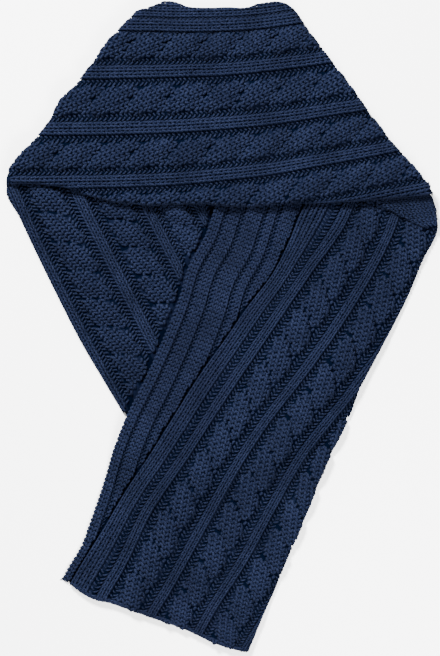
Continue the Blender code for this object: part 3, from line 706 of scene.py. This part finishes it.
def cloths():
    """Each cloth with its ground, its bounds and rolls at start, end, low and high, and where it lies."""
    hidden, edge, fold = Roll("hidden"), Roll("edge"), Roll("fold", TAIL_FOLD)
    turn, lower = Roll("fold", TURN_FOLD, band_turn_rests_at), Roll("fold", BAND_FOLD, band_rests_at)
    band_bounds = (
        band.by_distance(meets_x(left_turn), -150.0, 135.0),
        band.by_distance(meets_x(right_turn), -150.0, 135.0),
        band.by_station(meets_y(top_edge), -200.0, 60.0),
        band.by_station(meets_y(lower_fold), 30.0, 150.0),
    )
    right_bounds = (
        right_tail.by_distance(meets_y(lower_fold, UNDER_BAND), -125.0, 140.0),
        right_tail.by_distance(meets_y(cast_off), -125.0, 140.0),
        right_tail.by_station(meets_x(crease), -130.0, -60.0),
        right_tail.by_station(meets_x(right_edge), 20.0, 160.0),
    )
    left_bounds = (
        left_tail.by_distance(meets_y(lower_fold, UNDER_BAND), -138.0, 90.0),
        left_tail.by_distance(meets_x(open_edge, UNDER_NEIGHBOUR), -138.0, 90.0),
        fixed(-138.0),
        left_tail.by_station(meets_x(left_edge), 40.0, 110.0),
    )
    under_bounds = (
        under.by_distance(meets_y(lower_fold, UNDER_BAND), -20.0, 130.0),
        under.by_distance(meets_y(cast_off), -20.0, 130.0),
        under.by_station(meets_x(open_edge), -30.0, 30.0),
        under.by_station(meets_x(crease, UNDER_NEIGHBOUR), -5.0, 160.0),
    )
    tuck_bounds = (
        fixed(62.0),
        tuck.by_distance(meets_x(right_edge, -2.0), -30.0, 40.0),
        tuck.by_station(meets_y(lower_fold, 8.0), -60.0, 30.0),
        tuck.by_station(meets_y(tuck_edge), -20.0, 50.0),
    )
    right = (right_tail, tail_ground, right_bounds, (hidden, edge, edge, fold))
    left = (left_tail, left_ground, left_bounds, (hidden, hidden, hidden, fold))
    return {
        "neck_band": Cloth(band, band_ground, band_bounds, (turn, turn, edge, lower), in_band),
        "right_tail": Cloth(*right, in_right_tail, right_press, cast_off_end=True),
        "left_tail": Cloth(*left, in_left_tail, left_press),
        "right_tail_under_layer": Cloth(
            under, under_ground, under_bounds, (hidden, edge, edge, hidden), in_under_layer
        ),
        "corner_tuck": Cloth(tuck, tuck_ground, tuck_bounds, (hidden, edge, hidden, edge)),
    }


class Yarn:
    """Lays short bent strands on a cloth and makes one mesh of them."""

    def __init__(self, cloth, random):
        self.cloth = cloth
        self.random = random
        self.pitch = cloth.stretch.crossing / ROWS_A_CROSSING
        self.up = cloth.stretch.way * self.pitch
        last = math.ceil((cloth.stretch.length + MARGIN) / self.pitch)
        self.rows = np.arange(math.floor(-MARGIN / self.pitch), last) * self.pitch
        self.strands = []

    def uneven(self, spread, count=None):
        """A random amount for each strand, as a column."""
        return self.random.normal(0, spread, (len(self.rows) if count is None else count, 1))

    def stations(self, shift=0.0):
        """Where the strand of each row starts, a little unevenly."""
        return (self.rows + shift)[:, None] + self.uneven(0.05 * self.pitch)

    def add(self, keep, across, station, height, thick, high=YARN_HIGH, ends=YARN_ENDS):
        """Lays the strands to keep: their points' places in the cloth, height over it and half size."""
        size = np.broadcast_to(ends + (1 - ends) * np.sin(math.pi * (0.1 + 0.8 * LEG)) ** 0.5, station.shape)
        values = [value[keep] for value in (across, station, height, size * thick, size * high)]
        point, out = self.cloth.frame(*values[:2])
        seen = self.cloth.within(point[..., 0], point[..., 1]).all(axis=1)
        across, station, height, wide, high, point, out = (value[seen] for value in (*values, point, out))
        # What lies below LOW stays as it is, and only what stands over it is flattened at a roll.
        lowered = LOW + (height - LOW) * self.cloth.raised(across, station)
        height = np.where(height > LOW, lowered, height)
        self.strands.append((point + out * height[..., None], out, wide, high))

    def mesh(self, name):
        """A tube for each strand, with the length along it and the way round it as its UV."""
        centre, out, wide, high = (np.concatenate(part) for part in zip(*self.strands))
        count, points = centre.shape[:2]
        along = unit(np.gradient(centre, axis=1))
        side = unit(np.cross(out, along))
        up = np.cross(along, side)
        sides = np.arange(LEG_SIDES)
        angle = sides * 2 * math.pi / LEG_SIDES + FIRST_SIDE
        ring = centre[:, :, None] + side[:, :, None] * (wide[..., None] * np.cos(angle))[..., None]
        ring = ring + up[:, :, None] * (high[..., None] * np.sin(angle))[..., None]
        ring[..., 2] = np.maximum(ring[..., 2], FLOOR_CLEAR)
        first = np.arange(count)[:, None, None] * points * LEG_SIDES
        row = np.arange(points - 1)[None, :, None] * LEG_SIDES
        following = (sides + 1) % LEG_SIDES
        corners = (sides, following, LEG_SIDES + following, LEG_SIDES + sides)
        quads = np.stack([first + row + corner for corner in corners], axis=-1)
        start = first[:, 0] + sides[::-1]
        end = first[:, 0] + (points - 1) * LEG_SIDES + sides
        loops = np.concatenate([quads.ravel(), start.ravel(), end.ravel()])
        sizes = np.repeat([4, LEG_SIDES], [quads.size // 4, 2 * count])
        starts = np.concatenate([[0], np.cumsum(sizes)[:-1]])
        data = bpy.data.meshes.new(name)
        data.vertices.add(ring.size // 3)
        data.vertices.foreach_set("co", (ring * MM).astype(np.float32).ravel())
        data.loops.add(len(loops))
        data.loops.foreach_set("vertex_index", loops.astype(np.int32))
        data.polygons.add(len(sizes))
        data.polygons.foreach_set("loop_start", starts.astype(np.int32))
        data.polygons.foreach_set("use_smooth", np.ones(len(sizes), bool))
        steps = np.linalg.norm(np.diff(centre, axis=1), axis=2)
        length = np.pad(np.cumsum(steps, axis=1), ((0, 0), (1, 0)))
        u = np.broadcast_to(length[:, :, None] / UV_LENGTH, ring.shape[:3]).ravel()
        v = np.broadcast_to(sides / LEG_SIDES, ring.shape[:3]).ravel()
        uv = np.stack([u[loops], v[loops]], axis=1)
        data.uv_layers.new(name="yarn").data.foreach_set("uv", uv.astype(np.float32).ravel())
        data.update(calc_edges=True)
        data.validate()
        return data


def leg_height(dip=0.7):
    """A stitch's leg comes up from under the one before it and goes down into the next."""
    return -0.3 - dip * (1 - np.sin(math.pi * (0.08 + 0.84 * LEG)) ** 0.8)


def plain_columns(yarn, wales):
    """Columns of V stitches on straight wales."""
    cloth, rows = yarn.cloth, yarn.rows
    for wale in wales:
        width = np.abs(cloth.column(wale + 1.0, rows) - cloth.column(wale, rows))[:, None]
        for side in (-1.0, 1.0):
            station = yarn.stations() + yarn.up * (-0.45 + 1.4 * LEG)
            place = wale + 0.5 + (side * (0.105 + 0.265 * LEG) + yarn.uneven(0.012))
            keep = cloth.shown(cloth.column(wale + 0.5 + 0.25 * side, rows), rows)
            height = cloth.relief(place, station) + leg_height() + yarn.uneven(0.1)
            thick = np.clip(width / 4.9, 0.9, YARN * 1.12) * (1 + yarn.uneven(0.05))
            yarn.add(keep, cloth.column(place, station), station, height, thick)


def purl_columns(yarn, wales):
    """Purl bumps: bars that slant one way on one wale and the other way on the next."""
    cloth, rows = yarn.cloth, yarn.rows
    for number, wale in enumerate(wales):
        way = 1.0 - 2.0 * number
        bend = 0.12 * (BOW - 0.5) + way * PURL_SLANT * (2 * LEG - 1)
        station = yarn.stations(0.5 * number * yarn.pitch) + yarn.up * bend
        place = wale + 0.5 + PURL_HALF * (2 * LEG - 1)
        keep = cloth.shown(cloth.column(wale + 0.5, rows), rows)
        height = cloth.relief(place, station) - PURL_DEEP + 1.3 * BOW + yarn.uneven(0.12)
        thick = PURL_YARN * (1 + yarn.uneven(0.07))
        yarn.add(keep, cloth.column(place, station), station, height, thick, 1.2, 0.5)


def lobe_phase(stretch, cable, place, station):
    """How far along the lobes of a cable: each whole number is a crease, which leans and bows."""
    along = (station - stretch.crossings.get(cable, 0.0)) / stretch.crossing
    return along - stretch.lean * LOBE_LEAN * place - LOBE_BOW * (place / 2) ** 2


def lobe_at(stretch, cable, place, station):
    """0 where a lobe goes under the next, 1 on it: up at once along its crease, down before the next."""
    phase = lobe_phase(stretch, cable, place, station)
    turn = phase - np.floor(phase)
    return ease(turn / 0.09) * (1 - ease((turn - 0.52) / 0.48))


def cable_at(stretch, cable, place, station):
    """Height of a cable's cloth, by how many wales from its middle: each lobe comes out over the last."""
    lobe = lobe_at(stretch, cable, place, station)
    half = CABLE_HALF - LOBE_WAIST * (1 - lobe)
    round_off = np.clip(1 - (place / half) ** 2, 0, 1) ** 0.5
    return round_off * (CABLE_HIGH + LOBE_LOW + (LOBE_TOP - LOBE_LOW) * lobe)


def cable_columns(yarn, cable):
    """Wales that lean across the cable in each lobe, from one crossing to the next."""
    cloth, stretch, rows = yarn.cloth, yarn.cloth.stretch, yarn.rows
    crossing, period = stretch.crossings.get(cable, 0.0), stretch.crossing
    half = stretch.length / 2
    width = abs(cloth.column(cable + 1.0, half) - cloth.column(cable, half))
    first = math.floor((rows[0] - crossing) / period) - 1
    last = math.ceil((rows[-1] - crossing) / period) + 1
    grid = np.meshgrid(np.arange(first, last), np.arange(-6.5, 7.0, 1.0), rows, indexing="ij")
    number, wale, row = (values.reshape(-1, 1) for values in grid)
    centre = crossing + (number + 0.5) * period
    near = (np.abs(row - centre) < 1.3 * period)[:, 0]
    number, wale, row, centre = number[near], wale[near], row[near], centre[near]
    for side in (-1.0, 1.0):
        station = row + (yarn.up * (-0.3 + CABLE_LEG * LEG) + yarn.uneven(0.05 * yarn.pitch, len(row)))
        place = wale + side * (0.05 + 0.41 * LEG) + yarn.uneven(0.012, len(row))
        place = place + stretch.lean * LOBE_SLANT * (station - centre) / width
        middle = (place[:, LEG_MIDDLE], station[:, LEG_MIDDLE])
        phase = lobe_phase(stretch, cable, *middle)
        reach = CABLE_HALF - 0.04 - LOBE_WAIST * (1 - lobe_at(stretch, cable, *middle))
        keep = (np.floor(phase) == number[:, 0]) & (np.abs(middle[0]) < reach)
        keep &= phase - np.floor(phase) < LOBE_END
        station, place = station[keep], place[keep]
        size = np.abs(cloth.column(cable + 0.5, station) - cloth.column(cable - 0.5, station))
        across = cloth.column(cable, station) + place * size
        raised = cable_at(stretch, cable, place, station) * cloth.press(*stretch.plan(across, station))
        height = raised + leg_height(CABLE_DIP) + yarn.uneven(0.08, len(station))
        shown = cloth.shown(across[:, LEG_MIDDLE], station[:, LEG_MIDDLE])
        thick = CABLE_YARN * (1 + yarn.uneven(0.05, len(station)))
        yarn.add(shown, across, station, height, thick)


def ground_relief(wale):
    """Height of the border and the ribs over the purl ground."""
    height = BORDER_RAISE * ease((BORDER[0][1] + 0.3 - wale) / 0.6)
    for rib in RIBS:
        height = height + RIB_RAISE * ease((1.25 - np.abs(wale - rib)) / 0.5)
    return height


def knit(cloth, random, low, high):
    """The stitches of the pattern from one wale to another, to the end of the last rib or cable."""
    yarn = Yarn(cloth, random)
    if low == 0:
        plain_columns(yarn, (0, 1, 2))
        purl_columns(yarn, (3, 4))
    for rib, cable in zip(RIBS, CABLES):
        if low <= rib and rib - 1 <= high:
            plain_columns(yarn, (rib - 1, rib))
            purl_columns(yarn, (rib + 1, rib + 2))
        if low <= rib + 6 and rib + 3 <= high:
            cable_columns(yarn, cable)
            purl_columns(yarn, (rib + 7, rib + 8))
    if low == 0 and cloth.cast_off_end:
        edge_chain(yarn)
    return yarn


def edge_chain(yarn):
    """The chain of stitches along the cast-off edge."""
    cloth = yarn.cloth
    near_end = cloth.stretch.length * 0.9
    place = np.arange(cloth.low(near_end) - 6.0, cloth.high(near_end) + 6.0, CHAIN_STITCH)
    for side in (-1.0, 1.0):
        across = place[:, None] + CHAIN_STITCH * (-0.4 + 1.35 * LEG)
        line = cloth.end(across)
        station = line - (2.5 + side * (0.3 + 1.35 * LEG))
        middle = line[:, LEG_MIDDLE]
        keep = (place > cloth.low(middle) + 0.5) & (place < cloth.high(middle) + 2.0)
        height = 0.5 * CAST_OFF_RAISE + leg_height() + 0.35 + yarn.uneven(0.1, len(place))
        yarn.add(keep, across, station, height, YARN)


def vee_lane(yarn, edge, width, share=0.32, dip=0.5):
    """One column of plain stitches in wide V's, from its edge's distance into the cloth."""
    middle = edge + width / 2 + yarn.cloth.low(yarn.rows)
    for side in (-1.0, 1.0):
        station = yarn.stations() + yarn.up * (-0.3 + CABLE_LEG * LEG)
        across = middle[:, None] + side * width * (0.05 + 0.4 * LEG)
        height = leg_height(dip) + 0.3 + yarn.uneven(0.1)
        thick = width * share * (1 + yarn.uneven(0.05))
        yarn.add(yarn.cloth.shown(middle, yarn.rows), across, station, height, thick)


def under_columns(cloth, random):
    """The inner side of the cloth: lanes of plain stitches with a groove between them."""
    yarn = Yarn(cloth, random)
    for first, count, width in UNDER_LANES:
        for number in range(count):
            vee_lane(yarn, first + number * width, width)
    for left, right in UNDER_GROOVES:
        for number, way in ((0, 1.0), (1, -1.0)):
            shifted = (yarn.rows + 0.5 * number * yarn.pitch)[:, None]
            station = shifted + yarn.up * way * PURL_SLANT * (2 * LEG - 1)
            middle = left + (right - left) * (0.3 + 0.4 * number) + cloth.low(yarn.rows)
            across = middle[:, None] + (right - left) * 0.22 * (2 * LEG - 1)
            height = -2.6 + 0.8 * BOW + yarn.uneven(0.1)
            yarn.add(cloth.shown(middle, yarn.rows), across, station, height, 1.0, 1.1)
    return yarn


def tuck_columns(cloth, random):
    """Wales of plain stitches that run the length of the tuck."""
    yarn = Yarn(cloth, random)
    for edge in np.arange(-8.0, 44.0, TUCK_LANE):
        vee_lane(yarn, edge, TUCK_LANE, 0.25, 1.0)
    return yarn


def shell_relief(cloth, across, station):
    """What the stitches lie on: the ground with its ribs and cables."""
    wale = cloth.stretch.wale(across, station)
    height = ground_relief(wale)
    for cable in CABLES:
        raised = cable_at(cloth.stretch, cable, wale - cable, station) + CABLE_FILL
        height = height + np.where(np.abs(wale - cable) < CABLE_HALF, raised, 0.0)
    return height


def in_shade(cloth, across, station):
    """True between the ribs and the cables and before each crease, where the cloth lies low and its shell
    gets painted shade.
    """
    wale = cloth.stretch.wale(across, station)
    place = (wale - 1.0) % REPEAT_WALES
    shade = (place > 2.0) & (place < 4.0) | (place > 6.0) & (place < 8.0)
    for cable in CABLES:
        lobe = lobe_at(cloth.stretch, cable, wale - cable, station)
        shade |= (np.abs(wale - cable) < CABLE_HALF) & (lobe < 0.3)
    return shade


def joined_lines(mesh, first, second):
    """Triangles between two lines of vertices, each the shorter way across."""
    def far(one, other):
        return (one.co - other.co).length

    i = j = 0
    last = len(first) - 1
    while i < last or j < last:
        if j == last or i < last and far(first[i + 1], second[j]) <= far(first[i], second[j + 1]):
            mesh.faces.new((first[i], first[i + 1], second[j]))
            i += 1
        else:
            mesh.faces.new((first[i], second[j + 1], second[j]))
            j += 1


def closed_mesh(name, outer, inner):
    """Closes an outer and an inner face with strips round their rims."""
    mesh = bmesh.new()
    rows, columns = outer.shape[:2]
    grids = []
    for face in (outer, inner):
        verts = [[mesh.verts.new(face[i, j] * MM) for j in range(columns)] for i in range(rows)]
        for i in range(rows - 1):
            for j in range(columns - 1):
                mesh.faces.new((verts[i][j], verts[i][j + 1], verts[i + 1][j + 1], verts[i + 1][j]))
        grids.append(verts)
    top, bottom = grids
    for i in range(rows - 1):
        for j in (0, -1):
            mesh.faces.new((top[i][j], top[i + 1][j], bottom[i + 1][j], bottom[i][j]))
    joined_lines(mesh, top[0], bottom[0])
    joined_lines(mesh, top[-1], bottom[-1])
    bmesh.ops.recalc_face_normals(mesh, faces=mesh.faces)
    if mesh.calc_volume(signed=True) < 0:
        bmesh.ops.reverse_faces(mesh, faces=mesh.faces)
    data = bpy.data.meshes.new(name)
    mesh.to_mesh(data)
    mesh.free()
    data.polygons.foreach_set("use_smooth", [True] * len(data.polygons))
    return data


def shell_mesh(name, cloth, corners=None):
    """The closed thin cloth that the stitches lie on, with material 1 on the upward outer faces of its high
    ground and 0, painted shade, elsewhere.
    """
    low_roll, high_roll, start_roll, end_roll = cloth.rolls
    half = cloth.stretch.length / 2
    low, high = cloth.low(half), cloth.high(half)
    middle = (low + high) / 2
    columns = max(int((high - low) / SHELL_STEP), 6)
    rows = max(int((cloth.end(middle) - cloth.start(middle)) / SHELL_STEP), 6)
    station = np.full((rows, columns), half)
    for _ in range(SHELL_ROUNDS):
        low = cloth.low(station) + low_roll.radius - low_roll.reach
        high = cloth.high(station) - high_roll.radius + high_roll.reach
        across = low + (high - low) * np.linspace(0, 1, columns)[None, :]
        start = cloth.start(across) + start_roll.radius - start_roll.reach
        end = cloth.end(across) - end_roll.radius + end_roll.reach
        station = 0.5 * station + 0.5 * (start + (end - start) * np.linspace(0, 1, rows)[:, None])
    point, out = cloth.frame(across, station)
    patterned = cloth.stretch.lean != 0
    relief = 0.0 * station
    if patterned:
        relief = shell_relief(cloth, across, station) * cloth.press(point[..., 0], point[..., 1])
    outer = point + out * (relief * cloth.raised(across, station) - SHELL_UNDER)[..., None]
    inner = point - out * WALL
    outer[..., 2] = np.maximum(outer[..., 2], SHELL_CLEAR)
    inner[..., 2] = np.maximum(inner[..., 2], FLOOR_CLEAR)
    if corners:
        for face in (outer, inner):
            face[..., 0] = np.clip(face[..., 0], corners[0] - CORNER_SPARE, corners[1] + CORNER_SPARE)
    data = closed_mesh(name, outer, inner)
    if patterned:
        places = (outer * MM).reshape(-1, 3)
        tree = KDTree(len(places))
        for number, place in enumerate(places):
            tree.insert(Vector(place), number)
        tree.balance()
        # Painted shade: low ground, the place before each crease, and faces that do not look up get the dark
        # material.
        high_ground = ~in_shade(cloth, across, station).ravel()
        for face in data.polygons:
            _, number, far = tree.find(face.center)
            face.material_index = int(high_ground[number] and far < 0.004 and face.normal.z > 0.1)
    return data


def feed(tree, node, inputs):
    """Gives each input of a node its value, or links it to the output that feeds it."""
    for key, value in inputs.items():
        if isinstance(value, bpy.types.NodeSocket):
            tree.links.new(value, node.inputs[key])
        else:
            node.inputs[key].default_value = value


def add_node(tree, kind, inputs, **settings):
    node = tree.nodes.new("ShaderNode" + kind)
    for key, value in settings.items():
        setattr(node, key, value)
    feed(tree, node, inputs)
    return node.outputs


def maths(tree, operation, *values):
    return add_node(tree, "Math", dict(enumerate(values)), operation=operation)["Value"]


def multiplied(tree, first, second):
    inputs = {"Factor": 1.0, 6: first, 7: second}
    return add_node(tree, "Mix", inputs, data_type="RGBA", blend_type="MULTIPLY")[2]


def ramp(tree, value, *stops):
    """A colour that runs from one stop to the other."""
    node = tree.nodes.new("ShaderNodeValToRGB")
    for element, (position, colour) in zip(node.color_ramp.elements, stops):
        element.position, element.color = position, (*colour, 1.0)
    feed(tree, node, {"Fac": value})
    return node.outputs["Color"]


def toned(share):
    return tuple(c * share for c in YARN_COLOUR)


def matte_material(name, roughness=0.92, colour=YARN_COLOUR):
    """A plain material without gloss, and its node tree and shader to work on."""
    material = bpy.data.materials.new(name)
    material.use_nodes = True
    tree = material.node_tree
    shader = tree.nodes["Principled BSDF"]
    feed(tree, shader, {"Base Color": (*colour, 1.0), "Roughness": roughness, "Specular IOR Level": 0.0})
    return material, tree, shader


def yarn_material():
    """Navy wool: plies that twist round the yarn, loose fibres with painted highlights, a little unevenness
    in the dye, and painted shade on the yarn's flanks.
    """
    material, tree, shader = matte_material("navy_wool")
    feed(tree, shader, {"Sheen Weight": SHEEN, "Sheen Roughness": 0.5, "Sheen Tint": SHEEN_TINT})
    where = add_node(tree, "TexCoord", {})["Object"]
    dye = add_node(tree, "TexNoise", {"Vector": where, "Scale": 26.0, "Detail": 2.0})["Fac"]
    fibre = add_node(tree, "TexNoise", {"Vector": where, "Scale": 900.0, "Detail": 3.0})["Fac"]
    dyed = ramp(tree, dye, (0.35, toned(0.84)), (0.65, toned(1.16)))
    # Painted highlights: random pale specks where loose fibres would catch the light.
    painted_fibre_highlights = ramp(tree, fibre, (0.36, (0.20, 0.28, 0.38)), (0.64, (2.2, 2.0, 1.75)))
    uv = add_node(tree, "UVMap", {}, uv_map="yarn")["UV"]
    split = add_node(tree, "SeparateXYZ", {"Vector": uv})
    lay = maths(tree, "MULTIPLY_ADD", split["X"], 2.6, split["Y"])
    plies = maths(tree, "SINE", maths(tree, "MULTIPLY", lay, PLIES * 2 * math.pi))
    # Painted light and shade: the side of each strand that faces out of the cloth is painted lighter, and its
    # flanks darker.
    outward = maths(tree, "SUBTRACT", split["Y"], OUTWARD_V)
    facing = maths(tree, "COSINE", maths(tree, "MULTIPLY", outward, 2 * math.pi))
    painted_flank_shade = ramp(tree, facing, (0.0, (0.12, 0.25, 0.42)), (0.95, (1.3, 1.2, 1.1)))
    height = maths(tree, "MULTIPLY_ADD", plies, 0.35, fibre)
    bump = add_node(tree, "Bump", {"Height": height, "Strength": 0.5, "Distance": 0.0005})
    colour = multiplied(tree, multiplied(tree, dyed, painted_fibre_highlights), painted_flank_shade)
    feed(tree, shader, {"Base Color": colour, "Normal": bump["Normal"]})
    return material


def layered_material():
    """Knit seen edge on: painted shade in lines between the layers and in the gaps between stitches, and
    stitches as small bumps.
    """
    material, tree, shader = matte_material("layered_wool")
    where = add_node(tree, "TexCoord", {})["Object"]
    up = add_node(tree, "SeparateXYZ", {"Vector": where})["Z"]
    layer = maths(tree, "DIVIDE", maths(tree, "PINGPONG", up, LAYER_HIGH * MM / 2), LAYER_HIGH * MM / 2)
    # Painted shade: dark lines where one layer meets the next.
    lines = ramp(tree, layer, (0.0, toned(0.25)), (0.4, toned(1.1)))
    stitch = add_node(tree, "TexVoronoi", {"Vector": where, "Scale": 1.0 / (4.6 * MM)})["Distance"]
    painted_gap_shade = ramp(tree, stitch, (0.2, (1.2, 1.2, 1.2)), (0.75, (0.35, 0.35, 0.4)))
    bump = add_node(tree, "Bump", {"Height": stitch, "Strength": 0.7, "Distance": 0.0015}, invert=True)
    feed(tree, shader, {"Base Color": multiplied(tree, lines, painted_gap_shade), "Normal": bump["Normal"]})
    return material


def new_object(name, data):
    obj = bpy.data.objects.new(name, data)
    bpy.context.scene.collection.objects.link(obj)
    return obj


def shown_piece(name, data, material):
    obj = new_object(name, data)
    data.materials.append(material)
    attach(obj, "root")
    return obj


def hidden_cloth(material):
    """The folded layers inside, as one rounded stack that shows only at its edges."""
    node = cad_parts["hidden_layers"]
    data = node.data.copy()
    data.transform(node.matrix_world)
    data.materials.clear()
    stack = shown_piece("hidden_layers_cloth", data, material)
    for face in data.polygons:
        face.material_index = 0
        face.use_smooth = True
    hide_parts("hidden_layers")


def stitches(name, cloth, random):
    """The yarn of a cloth, by the names of its pieces."""
    if name in WALE_GROUPS:
        groups = enumerate(WALE_GROUPS[name], start=1)
        return {f"{name}_stitches_{number}": knit(cloth, random, *wales) for number, wales in groups}
    columns = tuck_columns if name == "corner_tuck" else under_columns
    return {name + "_stitches": columns(cloth, random)}


def build():
    random = np.random.default_rng(SEED)
    wool = yarn_material()
    # wool_shade is painted shade for the shell's low ground; wool_ground is for the upward faces of its high
    # ground.
    shade = matte_material("wool_shade", 0.95, SHELL_PAINTED_SHADE)[0]
    ground = matte_material("wool_ground", 0.95, toned(GROUND_TONE))[0]
    hidden_cloth(layered_material())
    for name, cloth in cloths().items():
        yarns = stitches(name, cloth, random)
        pieces = [shown_piece(piece, yarn.mesh(piece), wool).name for piece, yarn in yarns.items()]
        data = shell_mesh(name + "_cloth", cloth, CORNERS if name == "neck_band" else None)
        shell = shown_piece(name + "_cloth", data, shade)
        data.materials.append(ground)
        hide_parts(name)


def area_light(name, place, target, size, watts):
    light = bpy.data.lights.new(name, "AREA")
    light.shape = "DISK"
    light.size = size
    light.energy = watts
    obj = new_object(name, light)
    obj.location = place
    obj.rotation_mode = "QUATERNION"
    obj.rotation_quaternion = (Vector(target) - Vector(place)).to_track_quat("-Z", "Y")


def studio():
    floor_mesh = bpy.data.meshes.new("floor")
    corners = [(x * FLOOR_HALF, y * FLOOR_HALF, 0) for x, y in ((-1, -1), (1, -1), (1, 1), (-1, 1))]
    floor_mesh.from_pydata(corners, [], [(0, 1, 2, 3)])
    floor_mesh.materials.append(matte_material("pale_floor", 0.9, (0.93, 0.93, 0.935))[0])
    new_object("floor", floor_mesh)
    world = bpy.data.worlds.new("studio")
    world.use_nodes = True
    background = world.node_tree.nodes["Background"]
    feed(world.node_tree, background, {"Color": (1.0, 1.0, 1.0, 1.0), "Strength": WORLD_LIGHT})
    bpy.context.scene.world = world
    area_light("key", (-1.1, 2.1, 2.0), (0.0, 0.0, 0.0), 0.7, KEY_WATTS)
    area_light("fill", (0.45, -0.66, 0.95), (0.1, -0.2, 0.0), 0.6, FILL_WATTS)
    camera = bpy.data.cameras.new("camera")
    camera.lens = 120.0
    camera.sensor_width = 36.0
    camera.clip_end = 50.0
    seen = new_object("camera", camera)
    seen.location = (*CENTRE, VIEW_HIGH * camera.lens / camera.sensor_width + MIDDLE_HIGH)
    bpy.context.scene.camera = seen


build()
studio()
